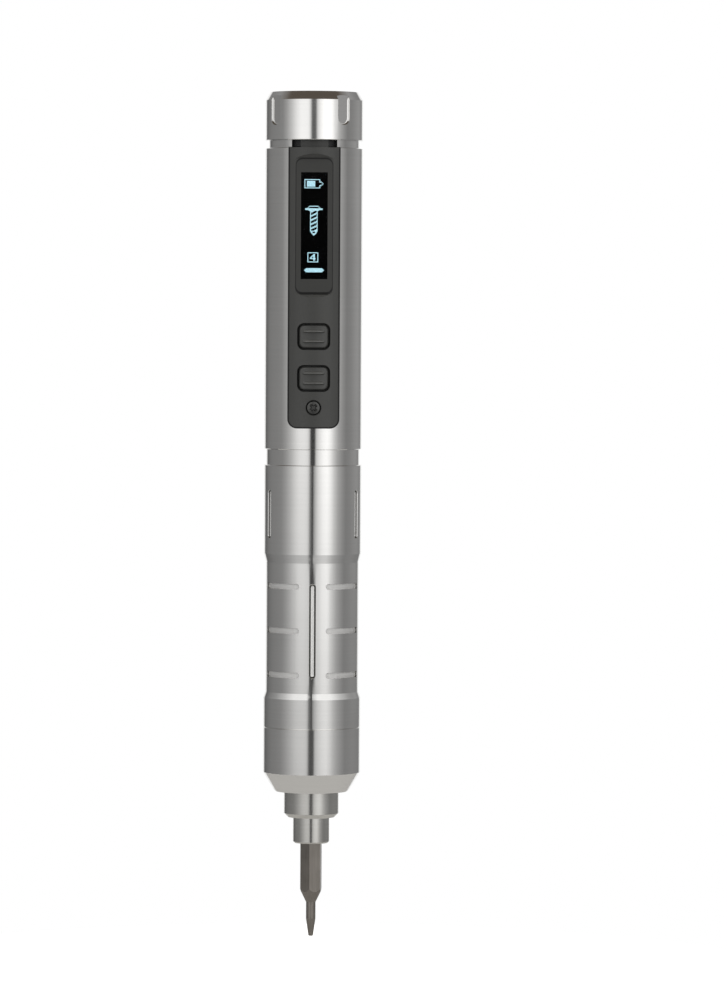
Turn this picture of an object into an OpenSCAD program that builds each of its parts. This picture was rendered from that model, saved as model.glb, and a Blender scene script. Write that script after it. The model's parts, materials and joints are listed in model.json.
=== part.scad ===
// Electric torque screwdriver for precision bits: a pen-shaped casing in three turned lengths,
// a moulded panel with a display and two buttons, a cell, a motor, a two-stage planetary
// gearbox and a spindle with a magnetic hexagon socket.
// +Z runs along the tool from the bit to the tail, and the panel faces -Y. The origin is on the
// axis, in the middle of the plain barrel, where a hand or a clamp holds the tool.

/* [Casing] */
// Diameter of the casing
body_d = 19.5; // [19.3:0.1:20.5]
// Length of the plain barrel of the lower body
barrel_len = 17.8; // [16:0.1:24]
// Length of the slope from the barrel down to the waist
shoulder_len = 1.7; // [1:0.1:2.5]
// Length of the slotted waist of the lower body
waist_len = 26; // [25:0.1:32]
// Depth of the waist below the casing's surface
waist_step = 0.42; // [0.3:0.02:0.5]
// Length of the slope from the waist out to the foot
flare_len = 1.2; // [0.8:0.1:1.6]
// Length of the foot of the lower body, down to the nose cone
foot_len = 5.9; // [5:0.1:7]
// Wall of the lower body at its waist
lower_wall = 1.03; // [0.9:0.01:1.1]
// Visible length of the ring between the two bodies
band_len = 3.1; // [2:0.1:4]
// Depth of that ring below the casing's surface
band_step = 0.39; // [0.2:0.01:0.6]
// Length of the upper body without its neck
upper_len = 60.1; // [59.5:0.1:66]
// Wall of the upper body tube
upper_wall = 0.9; // [0.8:0.05:1]
// Small bevel on the outer edges of the turned pieces
edge = 0.12; // [0.08:0.01:0.2]

/* [Grip slots] */
// Width of the slots that run round the waist
ring_slot_w = 1.1; // [0.8:0.1:1.4]
// Spacing of those slots along the waist
ring_slot_pitch = 8.85; // [8:0.05:9.5]
// Angle that each of those slots covers between its end centres
ring_slot_angle = 50; // [40:1:60]
// Width of the slots along the tool
long_slot_w = 1.6; // [1.2:0.1:2]
// Length of the slots along the waist
long_slot_len = 19.1; // [17:0.1:22]
// Depth of all slots in the grip
slot_depth = 0.38; // [0.25:0.01:0.45]
// Length of the slots in the barrel
barrel_slot_len = 9.9; // [8:0.1:12]
// Angle of the barrel's slots from the panel's side
barrel_slot_angle = 62.5; // [55:0.5:70]

/* [Tail] */
// Depth of the neck below the casing's surface
neck_step = 0.7; // [0.6:0.05:0.8]
// Visible length of the neck
neck_len = 1.5; // [1:0.1:2]
// Depth of the threaded spigot inside the tail cap below the casing's surface
spigot_step = 1.15; // [1.1:0.05:1.2]
// Length of that spigot above the neck
spigot_len = 5.4; // [5:0.1:6]
// Wall of that spigot
spigot_wall = 0.75; // [0.7:0.05:0.8]
// Length of the tail cap
cap_len = 9.7; // [9:0.1:11]
// Length of the bevel round the tail cap's end
cap_bevel_len = 1.65; // [1:0.05:2]
// Width of that bevel across the tool
cap_bevel_w = 0.95; // [0.6:0.05:1.2]
// Width of the notches in the tail cap
notch_w = 2.9; // [2:0.1:3.4]
// Length of those notches
notch_len = 6.7; // [5:0.1:7.5]
// Depth of those notches
notch_depth = 0.5; // [0.3:0.05:0.6]
// Turn of the notches about the axis
notch_turn = 36.9; // [0:0.1:89]
// Distance of the port insert's edge from the casing's surface
port_rim = 3.35; // [3:0.05:3.7]
// Width of the charging socket's shell
usb_w = 8.94; // [8.9:0.01:9]
// Thickness of the charging socket's shell across the slot
usb_t = 3.26; // [3.2:0.01:3.3]
// Wall of the charging socket's shell
usb_wall = 0.3; // [0.25:0.01:0.35]

/* [Control panel] */
// Width of the control panel
panel_w = 10.2; // [9.8:0.1:10.4]
// Height of the panel's lower edge above the ring band
panel_rise = 4.35; // [4.2:0.05:5]
// Radius of the panel's lower corners
panel_corner = 1.8; // [1.2:0.1:2.4]
// Depth of the panel behind the casing's surface
panel_depth = 2.85; // [2.8:0.05:3]
// Gap between the panel and the upper body
panel_gap = 0.08; // [0.05:0.01:0.12]
// Width of the panel's tongue under the tail cap
tongue_w = 5.5; // [4.5:0.1:6.5]
// Width of the slot in the neck for that tongue
tongue_slot_w = 9; // [8:0.1:9.4]
// Width of the window recess
window_w = 7.5; // [7:0.1:8]
// Length of the flat floor of the window recess
window_len = 26.6; // [26:0.1:27]
// Distance of that floor's upper end from the panel's top
window_drop = 2.25; // [1.8:0.05:2.4]
// Depth of the window recess behind the casing's surface
window_depth = 0.8; // [0.75:0.05:0.85]
// Border of that floor round the window glass
window_rim = 0.6; // [0.4:0.05:0.8]
// Thickness of the window glass
glass_t = 0.6; // [0.5:0.05:0.7]
// Width of the lit area of the display
screen_w = 5.25; // [5:0.05:5.4]
// Length of the lit area of the display
screen_len = 20.8; // [20:0.1:21.4]
// Width of a button
button_w = 5.83; // [5.4:0.01:6]
// Height of a button along the tool
button_h = 4.6; // [4.2:0.1:4.8]
// Radius of a button's corners
button_corner = 1.0; // [0.7:0.1:1.3]
// Gap round a button
button_gap = 0.38; // [0.3:0.01:0.4]
// Spacing of the two buttons
button_pitch = 8.31; // [8.2:0.01:8.6]
// Travel of a button
button_travel = 0.3; // [0.2:0.05:0.3]
// Height of the lower button's centre above the panel's lower edge
button_rise = 9.89; // [9.6:0.01:10.2]
// Height of the panel screw above the panel's lower edge
screw_rise = 4.05; // [3.8:0.05:4.2]
// Radius of the panel screw's head
screw_head_r = 1.4; // [1.3:0.05:1.5]
// Radius of the panel screw's shank
screw_r = 1; // [0.8:0.05:1]

/* [Electronics] */
// Diameter of the rechargeable cell
cell_d = 10; // [9.8:0.1:10.2]
// Length of the upper body that the cell leaves free at its two ends
cell_room = 16.1; // [15.9:0.1:17]
// Distance of the cell's axis from the back of the casing
cell_depth = 7.15; // [7.1:0.05:7.25]
// Width of the control board
board_w = 12.4; // [11:0.1:12.6]
// Thickness of the circuit boards
board_t = 1; // [0.8:0.1:1]
// Distance of the control board's rear face behind the casing's surface
board_depth = 5.25; // [5.2:0.05:5.3]

/* [Nose and spindle] */
// Length of the nose cone's cylinder
nose_len = 9.1; // [8.5:0.1:10]
// Length of the nose cone's slope
nose_slope_len = 3.85; // [3.2:0.05:4.5]
// How far the nose cone narrows towards its end, on each side
nose_taper = 2.15; // [1.9:0.05:2.4]
// Radius of the front collar
collar_r = 5.5; // [5.3:0.05:5.8]
// Length of the front collar
collar_len = 5.25; // [4.5:0.05:6]
// Bevel round the front collar's lower end
collar_bevel = 0.8; // [0.4:0.05:1]
// Radius of the spindle's nose
spindle_nose_r = 3.65; // [3.6:0.01:3.8]
// Length of the spindle's nose below the front collar
spindle_nose_len = 5.2; // [4.5:0.05:6]
// Radius of the spindle inside the front collar
spindle_neck_r = 3.4; // [3.3:0.01:3.45]
// Radius of the spindle inside the bearing
journal_r = 3; // [2.8:0.05:3]
// Radius of the spindle's shaft in the gearbox
shaft_r = 2.4; // [2.2:0.05:2.5]

/* [Bit] */
// Width of the bit's hexagon across its flats
hex_af = 4; // [3.9:0.01:4.1]
// Length of the bit
bit_len = 28; // [27.5:0.1:28.5]
// Length of the bit that stands out of the spindle
bit_reach = 18.8; // [18:0.1:19.5]
// Length of the bit's ground tip
tip_len = 3.5; // [3:0.1:4]
// Length of the bit's round neck
bit_neck_len = 3.3; // [2.5:0.1:4]
// Length of the cone between the bit's hexagon and its neck
bit_cone_len = 3; // [2.5:0.1:3.5]
// Radius of the bit's round neck
bit_neck_r = 0.95; // [0.8:0.05:1.1]
// Turn of the bit about the axis
bit_turn = 21.6; // [0:0.1:59]

/* [Bearing] */
// Wall of the nose cone's end round the ball bearing
bearing_wall = 1.6; // [1.5:0.05:1.7]
// Width of the ball bearing
bearing_w = 4; // [3.8:0.1:4.2]
// Radius of the bearing's balls
ball_r = 0.79; // [0.75:0.01:0.8]
// Number of balls
balls = 9; // [7:1:10]

/* [Gearbox] */
// Rim of the ring gear behind its teeth
ring_rim = 0.69; // [0.65:0.01:0.8]
// Pressure angle of all gears
pressure = 25; // [24.5:0.5:26]
// Teeth of each sun gear
sun_teeth = 12; // [12:3:15]
// Teeth of each planet gear
planet_teeth = 18; // [15:3:18]
// Face width of the planet gears
gear_w = 4; // [3.4:0.1:4.1]
// Play between meshing teeth, measured along the pitch circle
backlash = 0.05; // [0.04:0.01:0.08]
// Radius of the planet pins
pin_r = 0.7; // [0.6:0.05:0.8]

/* [Motor] */
// Length of the motor's can
motor_len = 22; // [20:0.1:22.5]
// Wall of the motor's can
can_wall = 0.5; // [0.4:0.05:0.6]
// Radius of the motor's shaft
motor_shaft_r = 0.75; // [0.7:0.05:0.8]
// Thickness of the motor's magnets
magnet_wall = 1.2; // [1.1:0.05:1.4]

/* [Hidden] */
$fn = 96;

// clearances
seat_gap = 0.05;       // between pieces slid into each other and then held
run_gap = 0.05;        // round a shaft that turns in its bush or collar
stack_gap = 0.1;       // between pieces stacked along the tool
end_gap = 0.2;         // along the tool, beside a piece that turns

// radii of the casing
body_r = body_d / 2;
waist_r = body_r - waist_step;
core_r = waist_r - lower_wall;
band_r = body_r - band_step;
upper_bore_r = body_r - upper_wall;
neck_r = body_r - neck_step;
spigot_r = body_r - spigot_step;
tail_bore_r = spigot_r - spigot_wall;
port_r = body_r - port_rim;
nose_end_r = body_r - nose_taper;
bearing_r = nose_end_r - bearing_wall;

// levels of the casing, from the barrel upwards
barrel_top = barrel_len / 2;
band_top = barrel_top + band_len;
upper_top = band_top + upper_len;
neck_top = upper_top + neck_len;
spigot_top = neck_top + spigot_len;
cap_top = neck_top + cap_len;
band_spigot_len = 5;
band_tongue_len = 3.8;
band_bore_r = core_r - 0.9;
cradle_bottom = band_top + band_tongue_len;
tail_web = 1.2;
shoulder_z = upper_top - tail_web;

// levels of the casing, from the barrel downwards
barrel_bottom = -barrel_len / 2;
waist_top = barrel_bottom - shoulder_len;
waist_bottom = waist_top - waist_len;
foot_top = waist_bottom - flare_len;
foot_bottom = foot_top - foot_len;
nose_edge = foot_bottom - nose_len;
nose_end = nose_edge - nose_slope_len;
collar_end = nose_end - collar_len;
spindle_end = collar_end - spindle_nose_len;
bit_end = spindle_end - bit_reach;

// middles of the grip's slots along the tool
waist_slot_mid = (waist_top + waist_bottom) / 2 - 0.5;
barrel_slot_mid = -0.9;

// control panel
panel_face_r = body_r - 0.02;
panel_bottom = band_top + panel_rise;
panel_back = body_r - panel_depth;
window_top = upper_top - window_drop;
window_mid = window_top - window_len / 2;
window_floor = body_r - window_depth;
window_corner = 1.6;
glass_w = window_w - 2 * window_rim;
glass_len = window_len - 2 * (window_rim - 0.45);
glass_back = window_floor - glass_t;
screen_mid = window_mid;
screen_web = 0.3;
screen_t = 1.1;
screen_face = glass_back - screen_web;
module_w = screen_w + 1.75;
module_len = screen_len + 3.2;
lower_button_z = panel_bottom + button_rise;
upper_button_z = lower_button_z + button_pitch;
button_face_r = body_r - 0.13;
rib_w = 0.55;
rib_spacing = 2.1;
button_flange = 0.7;
flange_t = 0.6;
flange_face = panel_back + 1.2;
stem_r = 1;
stem_len = 0.65;
stem_tip = flange_face - flange_t - stem_len;
screw_z = panel_bottom + screw_rise;
screw_recess_r = screw_head_r + 0.18;
screw_head_t = 0.6;
screw_seat = body_r - 0.85;

// tongue and tail
tongue_r = spigot_r - 0.1;
tongue_back_r = tail_bore_r + seat_gap;
tongue_top = neck_top + 3;
tongue_slot_top = tongue_top + 0.6;
cap_gap = 0.07;
cap_web_z = spigot_top + 1;
gasket_t = 0.9;
insert_r = tail_bore_r - seat_gap;
insert_bottom = upper_top + end_gap;
insert_face = cap_top - 0.2;
usb_gap = 0.08;
usb_mouth = insert_face - 0.5;
usb_tongue_w = 6.7;
usb_tongue_t = 0.7;

// electronics
cradle_r = upper_bore_r - stack_gap;
cradle_top = shoulder_z - stack_gap;
charger_bottom = shoulder_z + seat_gap;
charger_top = charger_bottom + board_t;
charger_flat = panel_back - end_gap;
cell_r = cell_d / 2;
cell_len = upper_len - cell_room;
cell_back = body_r - cell_depth;
cell_gap = 0.1;
board_front = body_r - board_depth;
cell_bottom = cradle_bottom + 6.1;
cell_top = cell_bottom + cell_len;
cell_button_len = 0.8;
contact_t = 0.3;
contact_w = 3;
board_face = board_front + board_t;
board_bottom = screw_z + 2.8;
board_top = cradle_top - 1.2;
boss_w = 4.6;
boss_h = 4.4;
boss_face = panel_back - seat_gap;
switch_w = 3.6;
plunger_tip = stem_tip - button_travel - run_gap;
plunger_len = 0.3;

// gearbox, from the nose cone upwards
ring_teeth = sun_teeth + 2 * planet_teeth;
root_share = 1.2;
gear_module = (core_r - seat_gap - ring_rim) / (ring_teeth / 2 + root_share);
carrier_arm = gear_module * (sun_teeth + planet_teeth) / 2;
addendum = gear_module;
dedendum = root_share * gear_module;
ring_tip_r = gear_module * ring_teeth / 2 - addendum;
ring_root_r = gear_module * ring_teeth / 2 + dedendum;
flank_steps = 3;
pin_gap = 0.02;
carrier_r = carrier_arm + pin_r + 0.95;
first_plate_t = 1.4;
output_plate_t = 1.6;
nose_spigot_len = 3.5;
gearbox_bottom = foot_bottom + nose_spigot_len;
output_z = gearbox_bottom + end_gap;
second_z = output_z + output_plate_t + stack_gap;
first_carrier_z = second_z + gear_w + end_gap;
first_z = first_carrier_z + first_plate_t + stack_gap;
gearbox_top = first_z + gear_w + 2 * end_gap;
gearbox_plate_t = 1.5;
motor_screw_r = 0.8;
motor_screw_head_r = 1.35;
motor_screw_head_t = 0.7;

// motor
motor_front = gearbox_top + gearbox_plate_t;
motor_rear = motor_front + motor_len;
can_r = core_r - 0.3;
can_bore_r = can_r - can_wall;
motor_screw_y = can_r - 3;
can_front_t = 1.2;
end_cap_t = 1.5;
bush_gap = 0.02;
bush_r = 2;
bush_len = 2.4;
front_bush_z = motor_front - 0.6;
rear_bush_z = motor_rear - 0.9;
magnet_gap = 0.25;
armature_r = can_bore_r - run_gap - magnet_wall - magnet_gap;
magnet_bottom = motor_front + can_front_t + 1;
magnet_len = motor_len - 6;
core_len = magnet_len - 3.6;
core_z = magnet_bottom + 1.4;
pole_neck_w = 1.7;
coil_overhang = 1;
commutator_r = 2.1;
commutator_len = 2.6;
commutator_z = motor_rear - 3.7;
brush_gap = 0.03;
brush_w = 1.2;
brush_arm_x = commutator_r + 1.5;
brush_arm_t = 0.4;
terminal_x = 4.6;
terminal_len = 2.4;
lead_r = 0.4;

// bearing and spindle, from the nose cone's end upwards
nose_floor = 1.25;
bearing_z = nose_end + nose_floor;
bearing_top = bearing_z + bearing_w;
race_gap = 0.02;
ball_circle_r = (bearing_r + journal_r) / 2;
groove_r = ball_r + 0.015;
race_t = 0.31 * (bearing_r - journal_r);
cage_t = 0.5;
cage_h = 2.3;
circlip_t = 0.7;
circlip_z = bearing_top + run_gap;
circlip_groove = 0.35;
clip_t = 0.5;
clip_z = bearing_top + run_gap;
clip_groove = 0.4;
clip_rim = 1;
journal_top = clip_z + clip_t + 0.45;
collar_bore_r = spindle_neck_r + run_gap;
collar_spigot_r = bearing_r - race_t;
nose_bore_r = core_r - 1.1;
shaft_flat = 0.5;
hub_r = shaft_r + 1.2;
hub_len = 3;

// socket and bit
socket_gap = 0.03;
bit_top = bit_end + bit_len;
bit_bevel = 0.3;
socket_top = bit_top + run_gap;
magnet_r = 1.75;
magnet_t = 2;
tip_r = 0.47;
flute_len = 2.5;
shank_bottom = bit_end + tip_len + bit_neck_len + bit_cone_len;

// tube or disc between two levels
module tube(r_out, r_in, z0, z1) {
    translate([0, 0, z0]) difference() {
        cylinder(r = r_out, h = z1 - z0);
        if (r_in > 0) translate([0, 0, -1]) cylinder(r = r_in, h = z1 - z0 + 2);
    }
}

// plate whose outline is drawn as (x, z), between two distances in front of the axis
module front_plate(near, far) {
    translate([0, -near, 0]) rotate([90, 0, 0]) linear_extrude(far - near) children();
}

// outline of a rectangle with round corners about the centre
module rounded(w, h, r) {
    square([w, h - 2 * r], center = true);
    square([w - 2 * r, h], center = true);
    for (x = [-1, 1], z = [-1, 1])
        translate([x * (w / 2 - r), z * (h / 2 - r)]) circle(r);
}

// outline of a slot with round ends, its long side along x
module stadium(w, t) {
    square([w - t, t], center = true);
    for (x = [-1, 1]) translate([x * (w - t) / 2, 0]) circle(t / 2);
}

// three copies about the axis
module thrice() {
    for (i = [0:2]) rotate([0, 0, 120 * i]) children();
}

// ---- gear teeth: involute flanks down to the base circle, radial below it ----

function polar(r, a) = [r * cos(a), r * sin(a)];
function involute(a) = tan(a) * 180 / PI - a;
function base_r(teeth) = gear_module * teeth / 2 * cos(pressure);
function half_tooth(teeth, r, slack) =
    90 / teeth - slack / 2 * 180 / PI / (gear_module * teeth / 2) / 2
    + involute(pressure) - involute(acos(min(1, base_r(teeth) / r)));

// points of one tooth: up one flank and down the other
function tooth(teeth, low, high, slack, mid) =
    let (start = max(low, base_r(teeth)), rise = (high - start) / flank_steps)
    concat(
        low < start ? [polar(low, mid - half_tooth(teeth, start, slack))] : [],
        [for (k = [0:flank_steps])
            polar(start + k * rise, mid - half_tooth(teeth, start + k * rise, slack))],
        [for (k = [flank_steps:-1:0])
            polar(start + k * rise, mid + half_tooth(teeth, start + k * rise, slack))],
        low < start ? [polar(low, mid + half_tooth(teeth, start, slack))] : []
    );

module toothed(teeth, low, high, slack) {
    polygon([for (i = [0:teeth - 1]) each tooth(teeth, low, high, slack, 360 * i / teeth)]);
}

module outer_gear(teeth, bore_r, z0, z1) {
    pitch_r = gear_module * teeth / 2;
    translate([0, 0, z0]) difference() {
        linear_extrude(z1 - z0) toothed(teeth, pitch_r - dedendum, pitch_r + addendum, backlash);
        translate([0, 0, -1]) cylinder(r = bore_r, h = z1 - z0 + 2);
    }
}

// a planet on its pin, turned so that its teeth stand in mesh with the sun gear
module planet(i, z0) {
    around = 120 * i;
    rotate([0, 0, around]) translate([carrier_arm, 0, 0])
        rotate([0, 0, around * sun_teeth / planet_teeth + 180 - 180 / planet_teeth])
            outer_gear(planet_teeth, pin_r + pin_gap, z0, z0 + gear_w);
}

module planet_pins(z0, z1) {
    thrice() translate([carrier_arm, 0, z0]) cylinder(r = pin_r, h = z1 - z0);
}

// ---- casing ----

// slots round the waist, three rings of four; their round ends are cut a little wider and deeper
module ring_slots() {
    half = ring_slot_angle / 2;
    floor_r = waist_r - slot_depth;
    end_cut = 0.03;
    for (i = [-1:1], a = [45:90:315]) translate([0, 0, waist_slot_mid + i * ring_slot_pitch]) {
        rotate([0, 0, a - half]) rotate_extrude(angle = ring_slot_angle)
            translate([floor_r, -ring_slot_w / 2]) square([1, ring_slot_w]);
        for (s = [-half, half]) rotate([0, 0, a + s]) translate([floor_r - end_cut, 0, 0])
            rotate([0, 90, 0]) cylinder(r = ring_slot_w / 2 + end_cut, h = 1, $fn = 32);
    }
}

// slot along the tool with a round floor, as a ball-ended cutter leaves it
module long_slot(r, z0, z1, a) {
    cut_r = long_slot_w / 2;
    rotate([0, 0, a]) translate([r - slot_depth + cut_r, 0, 0]) {
        translate([0, 0, z0 + cut_r]) cylinder(r = cut_r, h = z1 - z0 - long_slot_w, $fn = 32);
        for (z = [z0 + cut_r, z1 - cut_r]) translate([0, 0, z]) sphere(r = cut_r, $fn = 32);
    }
}

module lower_body() {
    long_slot_half = long_slot_len / 2;
    barrel_slot_half = barrel_slot_len / 2;
    color("silver") difference() {
        rotate([0, 0, -90]) rotate_extrude() polygon([
            [core_r, foot_bottom], [body_r - edge, foot_bottom], [body_r, foot_bottom + edge],
            [body_r, foot_top], [waist_r, waist_bottom], [waist_r, waist_top],
            [body_r, barrel_bottom], [body_r, barrel_top - edge], [body_r - edge, barrel_top],
            [core_r, barrel_top]
        ]);
        ring_slots();
        for (a = [0:90:270])
            long_slot(waist_r, waist_slot_mid - long_slot_half, waist_slot_mid + long_slot_half, a);
        for (side = [-90, 90], s = [-1, 1])
            long_slot(body_r, barrel_slot_mid - barrel_slot_half, barrel_slot_mid + barrel_slot_half,
                side + s * barrel_slot_angle);
    }
}

module upper_body() {
    color("silver") difference() {
        rotate_extrude() polygon([
            [upper_bore_r, band_top], [body_r - edge, band_top], [body_r, band_top + edge],
            [body_r, upper_top - edge], [body_r - edge, upper_top], [neck_r, upper_top],
            [neck_r, neck_top - seat_gap], [spigot_r, neck_top - seat_gap],
            [spigot_r, spigot_top], [tail_bore_r, spigot_top], [tail_bore_r, shoulder_z],
            [upper_bore_r, shoulder_z]
        ]);
        front_plate(panel_back - 0.4, body_r + 1) panel_outline(panel_gap);
        translate([-tongue_slot_w / 2, -body_r, upper_top - 0.5])
            cube([tongue_slot_w, body_r - panel_back + 0.9, tongue_slot_top - upper_top + 0.5]);
    }
}

module coupling_ring() {
    color("silver") rotate_extrude() polygon([
        [band_bore_r, barrel_top - band_spigot_len], [core_r - seat_gap, barrel_top - band_spigot_len],
        [core_r - seat_gap, barrel_top], [band_r, barrel_top], [band_r, band_top],
        [upper_bore_r - seat_gap, band_top], [upper_bore_r - seat_gap, cradle_bottom],
        [band_bore_r, cradle_bottom]
    ]);
}

module nose_cone() {
    color("silver") rotate_extrude() polygon([
        [collar_spigot_r + seat_gap, nose_end], [nose_end_r - 2 * edge, nose_end],
        [nose_end_r, nose_end + 2 * edge], [body_r, nose_edge], [body_r, foot_bottom - edge],
        [body_r - edge, foot_bottom], [core_r - seat_gap, foot_bottom],
        [core_r - seat_gap, gearbox_bottom], [nose_bore_r, gearbox_bottom],
        [nose_bore_r, circlip_z + circlip_t + 1], [bearing_r + race_gap, circlip_z + circlip_t + 1],
        [bearing_r + race_gap, circlip_z + circlip_t + race_gap],
        [bearing_r + circlip_groove, circlip_z + circlip_t + race_gap],
        [bearing_r + circlip_groove, circlip_z - race_gap],
        [bearing_r + race_gap, circlip_z - race_gap], [bearing_r + race_gap, bearing_z],
        [collar_spigot_r + seat_gap, bearing_z]
    ]);
}

module front_collar() {
    color("lightgray") rotate_extrude() polygon([
        [collar_bore_r, collar_end], [collar_r - collar_bevel, collar_end],
        [collar_r, collar_end + collar_bevel], [collar_r, nose_end],
        [collar_spigot_r, nose_end], [collar_spigot_r, bearing_z - seat_gap],
        [collar_bore_r, bearing_z - seat_gap]
    ]);
}

// ---- control panel ----

module panel_outline(grow) {
    w = panel_w + 2 * grow;
    r = panel_corner + grow;
    low = panel_bottom - grow;
    translate([-w / 2, low + r]) square([w, upper_top + edge - low - r]);
    translate([r - w / 2, low]) square([w - 2 * r, 2 * r]);
    for (s = [-1, 1]) translate([s * (w / 2 - r), low + r]) circle(r);
}

// recess with sloping ends round the window
module window_recess() {
    rise = window_depth + 0.2;
    run = 1.25 * rise;
    intersection() {
        translate([-window_w / 2, 0, 0]) rotate([90, 0, 90]) linear_extrude(window_w) polygon([
            [-window_floor, window_top - window_len], [-window_floor, window_top],
            [-window_floor - rise, window_top + run],
            [-window_floor - rise, window_top - window_len - run]
        ]);
        front_plate(window_floor - 1, body_r + 1)
            translate([0, window_mid]) rounded(window_w, window_len + 2 * window_depth + 0.4, window_corner);
    }
}

module control_panel() {
    color("dimgray") {
        difference() {
            intersection() {
                translate([0, 0, panel_bottom - 1])
                    cylinder(r = panel_face_r, h = upper_top - panel_bottom + 1);
                front_plate(panel_back, body_r + 1) panel_outline(0);
            }
            window_recess();
            front_plate(glass_back, body_r) translate([0, window_mid])
                rounded(glass_w + 2 * seat_gap, glass_len + 2 * seat_gap, 1.2);
            front_plate(panel_back - 1, body_r) translate([0, screen_mid])
                square([screen_w + 0.3, screen_len + 0.4], center = true);
            front_plate(panel_back - 1, screen_face) translate([0, screen_mid])
                square([module_w + 0.1, module_len + 0.1], center = true);
            for (z = [lower_button_z, upper_button_z]) {
                front_plate(panel_back - 1, body_r + 1) translate([0, z])
                    rounded(button_w + 2 * button_gap, button_h + 2 * button_gap,
                        button_corner + button_gap);
                front_plate(panel_back - 1, flange_face + 0.05) translate([0, z])
                    square([button_w + 2 * button_flange + 0.2, button_h + 2 * button_flange + 0.2],
                        center = true);
            }
            front_plate(screw_seat, body_r + 1) translate([0, screw_z]) circle(screw_recess_r);
            front_plate(panel_back - 1, body_r) translate([0, screw_z]) circle(screw_r + seat_gap);
        }
        intersection() {
            tube(tongue_r, tongue_back_r, upper_top - 0.5, tongue_top);
            translate([-tongue_w / 2, -body_r, upper_top - 1])
                cube([tongue_w, body_r, tongue_top - upper_top + 2]);
        }
    }
}

module display_window() {
    color("#3a3a38") front_plate(glass_back, window_floor) translate([0, window_mid])
        rounded(glass_w, glass_len, 1.2);
}

module oled_display() {
    color("black") front_plate(screen_face - screen_t, screen_face) translate([0, screen_mid])
        square([module_w, module_len], center = true);
}

// button: a cap with two ribs that follows the casing, a flange behind the panel and a stem
module button(z) {
    color("#4a4a48") {
        intersection() {
            translate([0, 0, z - button_h]) cylinder(r = button_face_r, h = 2 * button_h);
            front_plate(flange_face - flange_t, body_r) translate([0, z])
                rounded(button_w, button_h, button_corner);
        }
        intersection() {
            translate([0, 0, z - button_h]) cylinder(r = body_r, h = 2 * button_h);
            front_plate(flange_face, body_r + 1) for (s = [-1, 1])
                translate([0, z + s * rib_spacing / 2]) stadium(button_w - 1.2, rib_w);
        }
        front_plate(flange_face - flange_t, flange_face) translate([0, z])
            square([button_w + 2 * button_flange, button_h + 2 * button_flange], center = true);
        front_plate(stem_tip, flange_face - flange_t) translate([0, z]) circle(stem_r);
    }
}

module upper_button() { button(upper_button_z); }
module lower_button() { button(lower_button_z); }

module panel_screw() {
    color("#222222") {
        front_plate(screw_seat, screw_seat + screw_head_t) translate([0, screw_z])
            circle(screw_head_r);
        front_plate(board_front + 0.4, screw_seat) translate([0, screw_z]) circle(screw_r);
    }
}

// ---- electronics ----

module control_board() {
    color("darkgreen") front_plate(board_front, board_face)
        translate([-board_w / 2, board_bottom]) square([board_w, board_top - board_bottom]);
}

// processor, motor driver and two rows of small parts on the board's front
module board_chips() {
    chips_z = board_bottom + 3;
    color("#1b1b1b") {
        front_plate(board_face, board_face + 0.8) {
            translate([0, screen_mid + 5]) square([5, 5], center = true);
            translate([0, screen_mid - 4]) square([4, 4], center = true);
        }
        front_plate(board_face, board_face + 0.6) for (i = [0:4], s = [-1, 1])
            translate([s * (board_w / 2 - 1), chips_z + 3 * i]) square([0.8, 1.6], center = true);
    }
}

module tactile_switches() {
    color("#c8c8c8") for (z = [lower_button_z, upper_button_z]) {
        front_plate(board_face, plunger_tip - plunger_len) translate([0, z])
            square([switch_w, switch_w], center = true);
        front_plate(plunger_tip - plunger_len, plunger_tip) translate([0, z]) circle(0.9);
    }
}

module battery_cell() {
    color("royalblue") translate([0, cell_back, 0]) {
        tube(cell_r, 0, cell_bottom, cell_top);
        tube(2, 0, cell_top, cell_top + cell_button_len);
    }
}

// two nickel strips that run from the cell's ends to the control board
module battery_contacts() {
    color("#c9c5b8") for (z = [cell_bottom - contact_t, cell_top + cell_button_len])
        translate([-contact_w / 2, -board_front, z])
            cube([contact_w, board_front + cell_back + 2, contact_t]);
}

// half shell that holds the cell and carries the control board, with side windows between ribs
module battery_cradle() {
    pocket_r = cell_r + cell_gap;
    low = cell_bottom - contact_t;
    high = cell_top + cell_button_len + contact_t;
    bay = (high - low) / 4;
    color("#2e2e30") difference() {
        union() {
            intersection() {
                tube(cradle_r, 0, cradle_bottom, cradle_top);
                translate([-body_r, -board_front, cradle_bottom])
                    cube([2 * body_r, board_front + body_r, cradle_top - cradle_bottom]);
            }
            translate([-boss_w / 2, -boss_face, screw_z - boss_h / 2])
                cube([boss_w, boss_face, boss_h]);
        }
        translate([0, cell_back, low]) cylinder(r = pocket_r, h = high - low);
        translate([-pocket_r, -body_r, low]) cube([2 * pocket_r, body_r + cell_back, high - low]);
        for (i = [0:3]) translate([-body_r, -board_front + 1.4, low + i * bay + 1])
            cube([2 * body_r, 5.4, bay - 2]);
        front_plate(board_front + 0.3, body_r) translate([0, screw_z]) circle(screw_r + 0.02);
        for (s = [-1, 1]) translate([s * 4.4, 1, cradle_bottom - 1])
            cylinder(r = 1.5, h = low - cradle_bottom + 1.5);
    }
}

module charging_board() {
    color("darkgreen") intersection() {
        tube(insert_r, 0, charger_bottom, charger_top);
        translate([-body_r, -charger_flat, charger_bottom - 1])
            cube([2 * body_r, charger_flat + body_r, board_t + 2]);
    }
}

module usb_socket() {
    color("#b8bcc0") {
        translate([0, 0, charger_top]) linear_extrude(usb_mouth - charger_top) difference() {
            stadium(usb_w, usb_t);
            stadium(usb_w - 2 * usb_wall, usb_t - 2 * usb_wall);
        }
        translate([0, 0, charger_top]) linear_extrude(3) stadium(usb_w - usb_wall, usb_t - usb_wall);
        translate([-usb_tongue_w / 2, -usb_tongue_t / 2, charger_top + 2])
            cube([usb_tongue_w, usb_tongue_t, usb_mouth - charger_top - 2.6]);
    }
}

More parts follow.
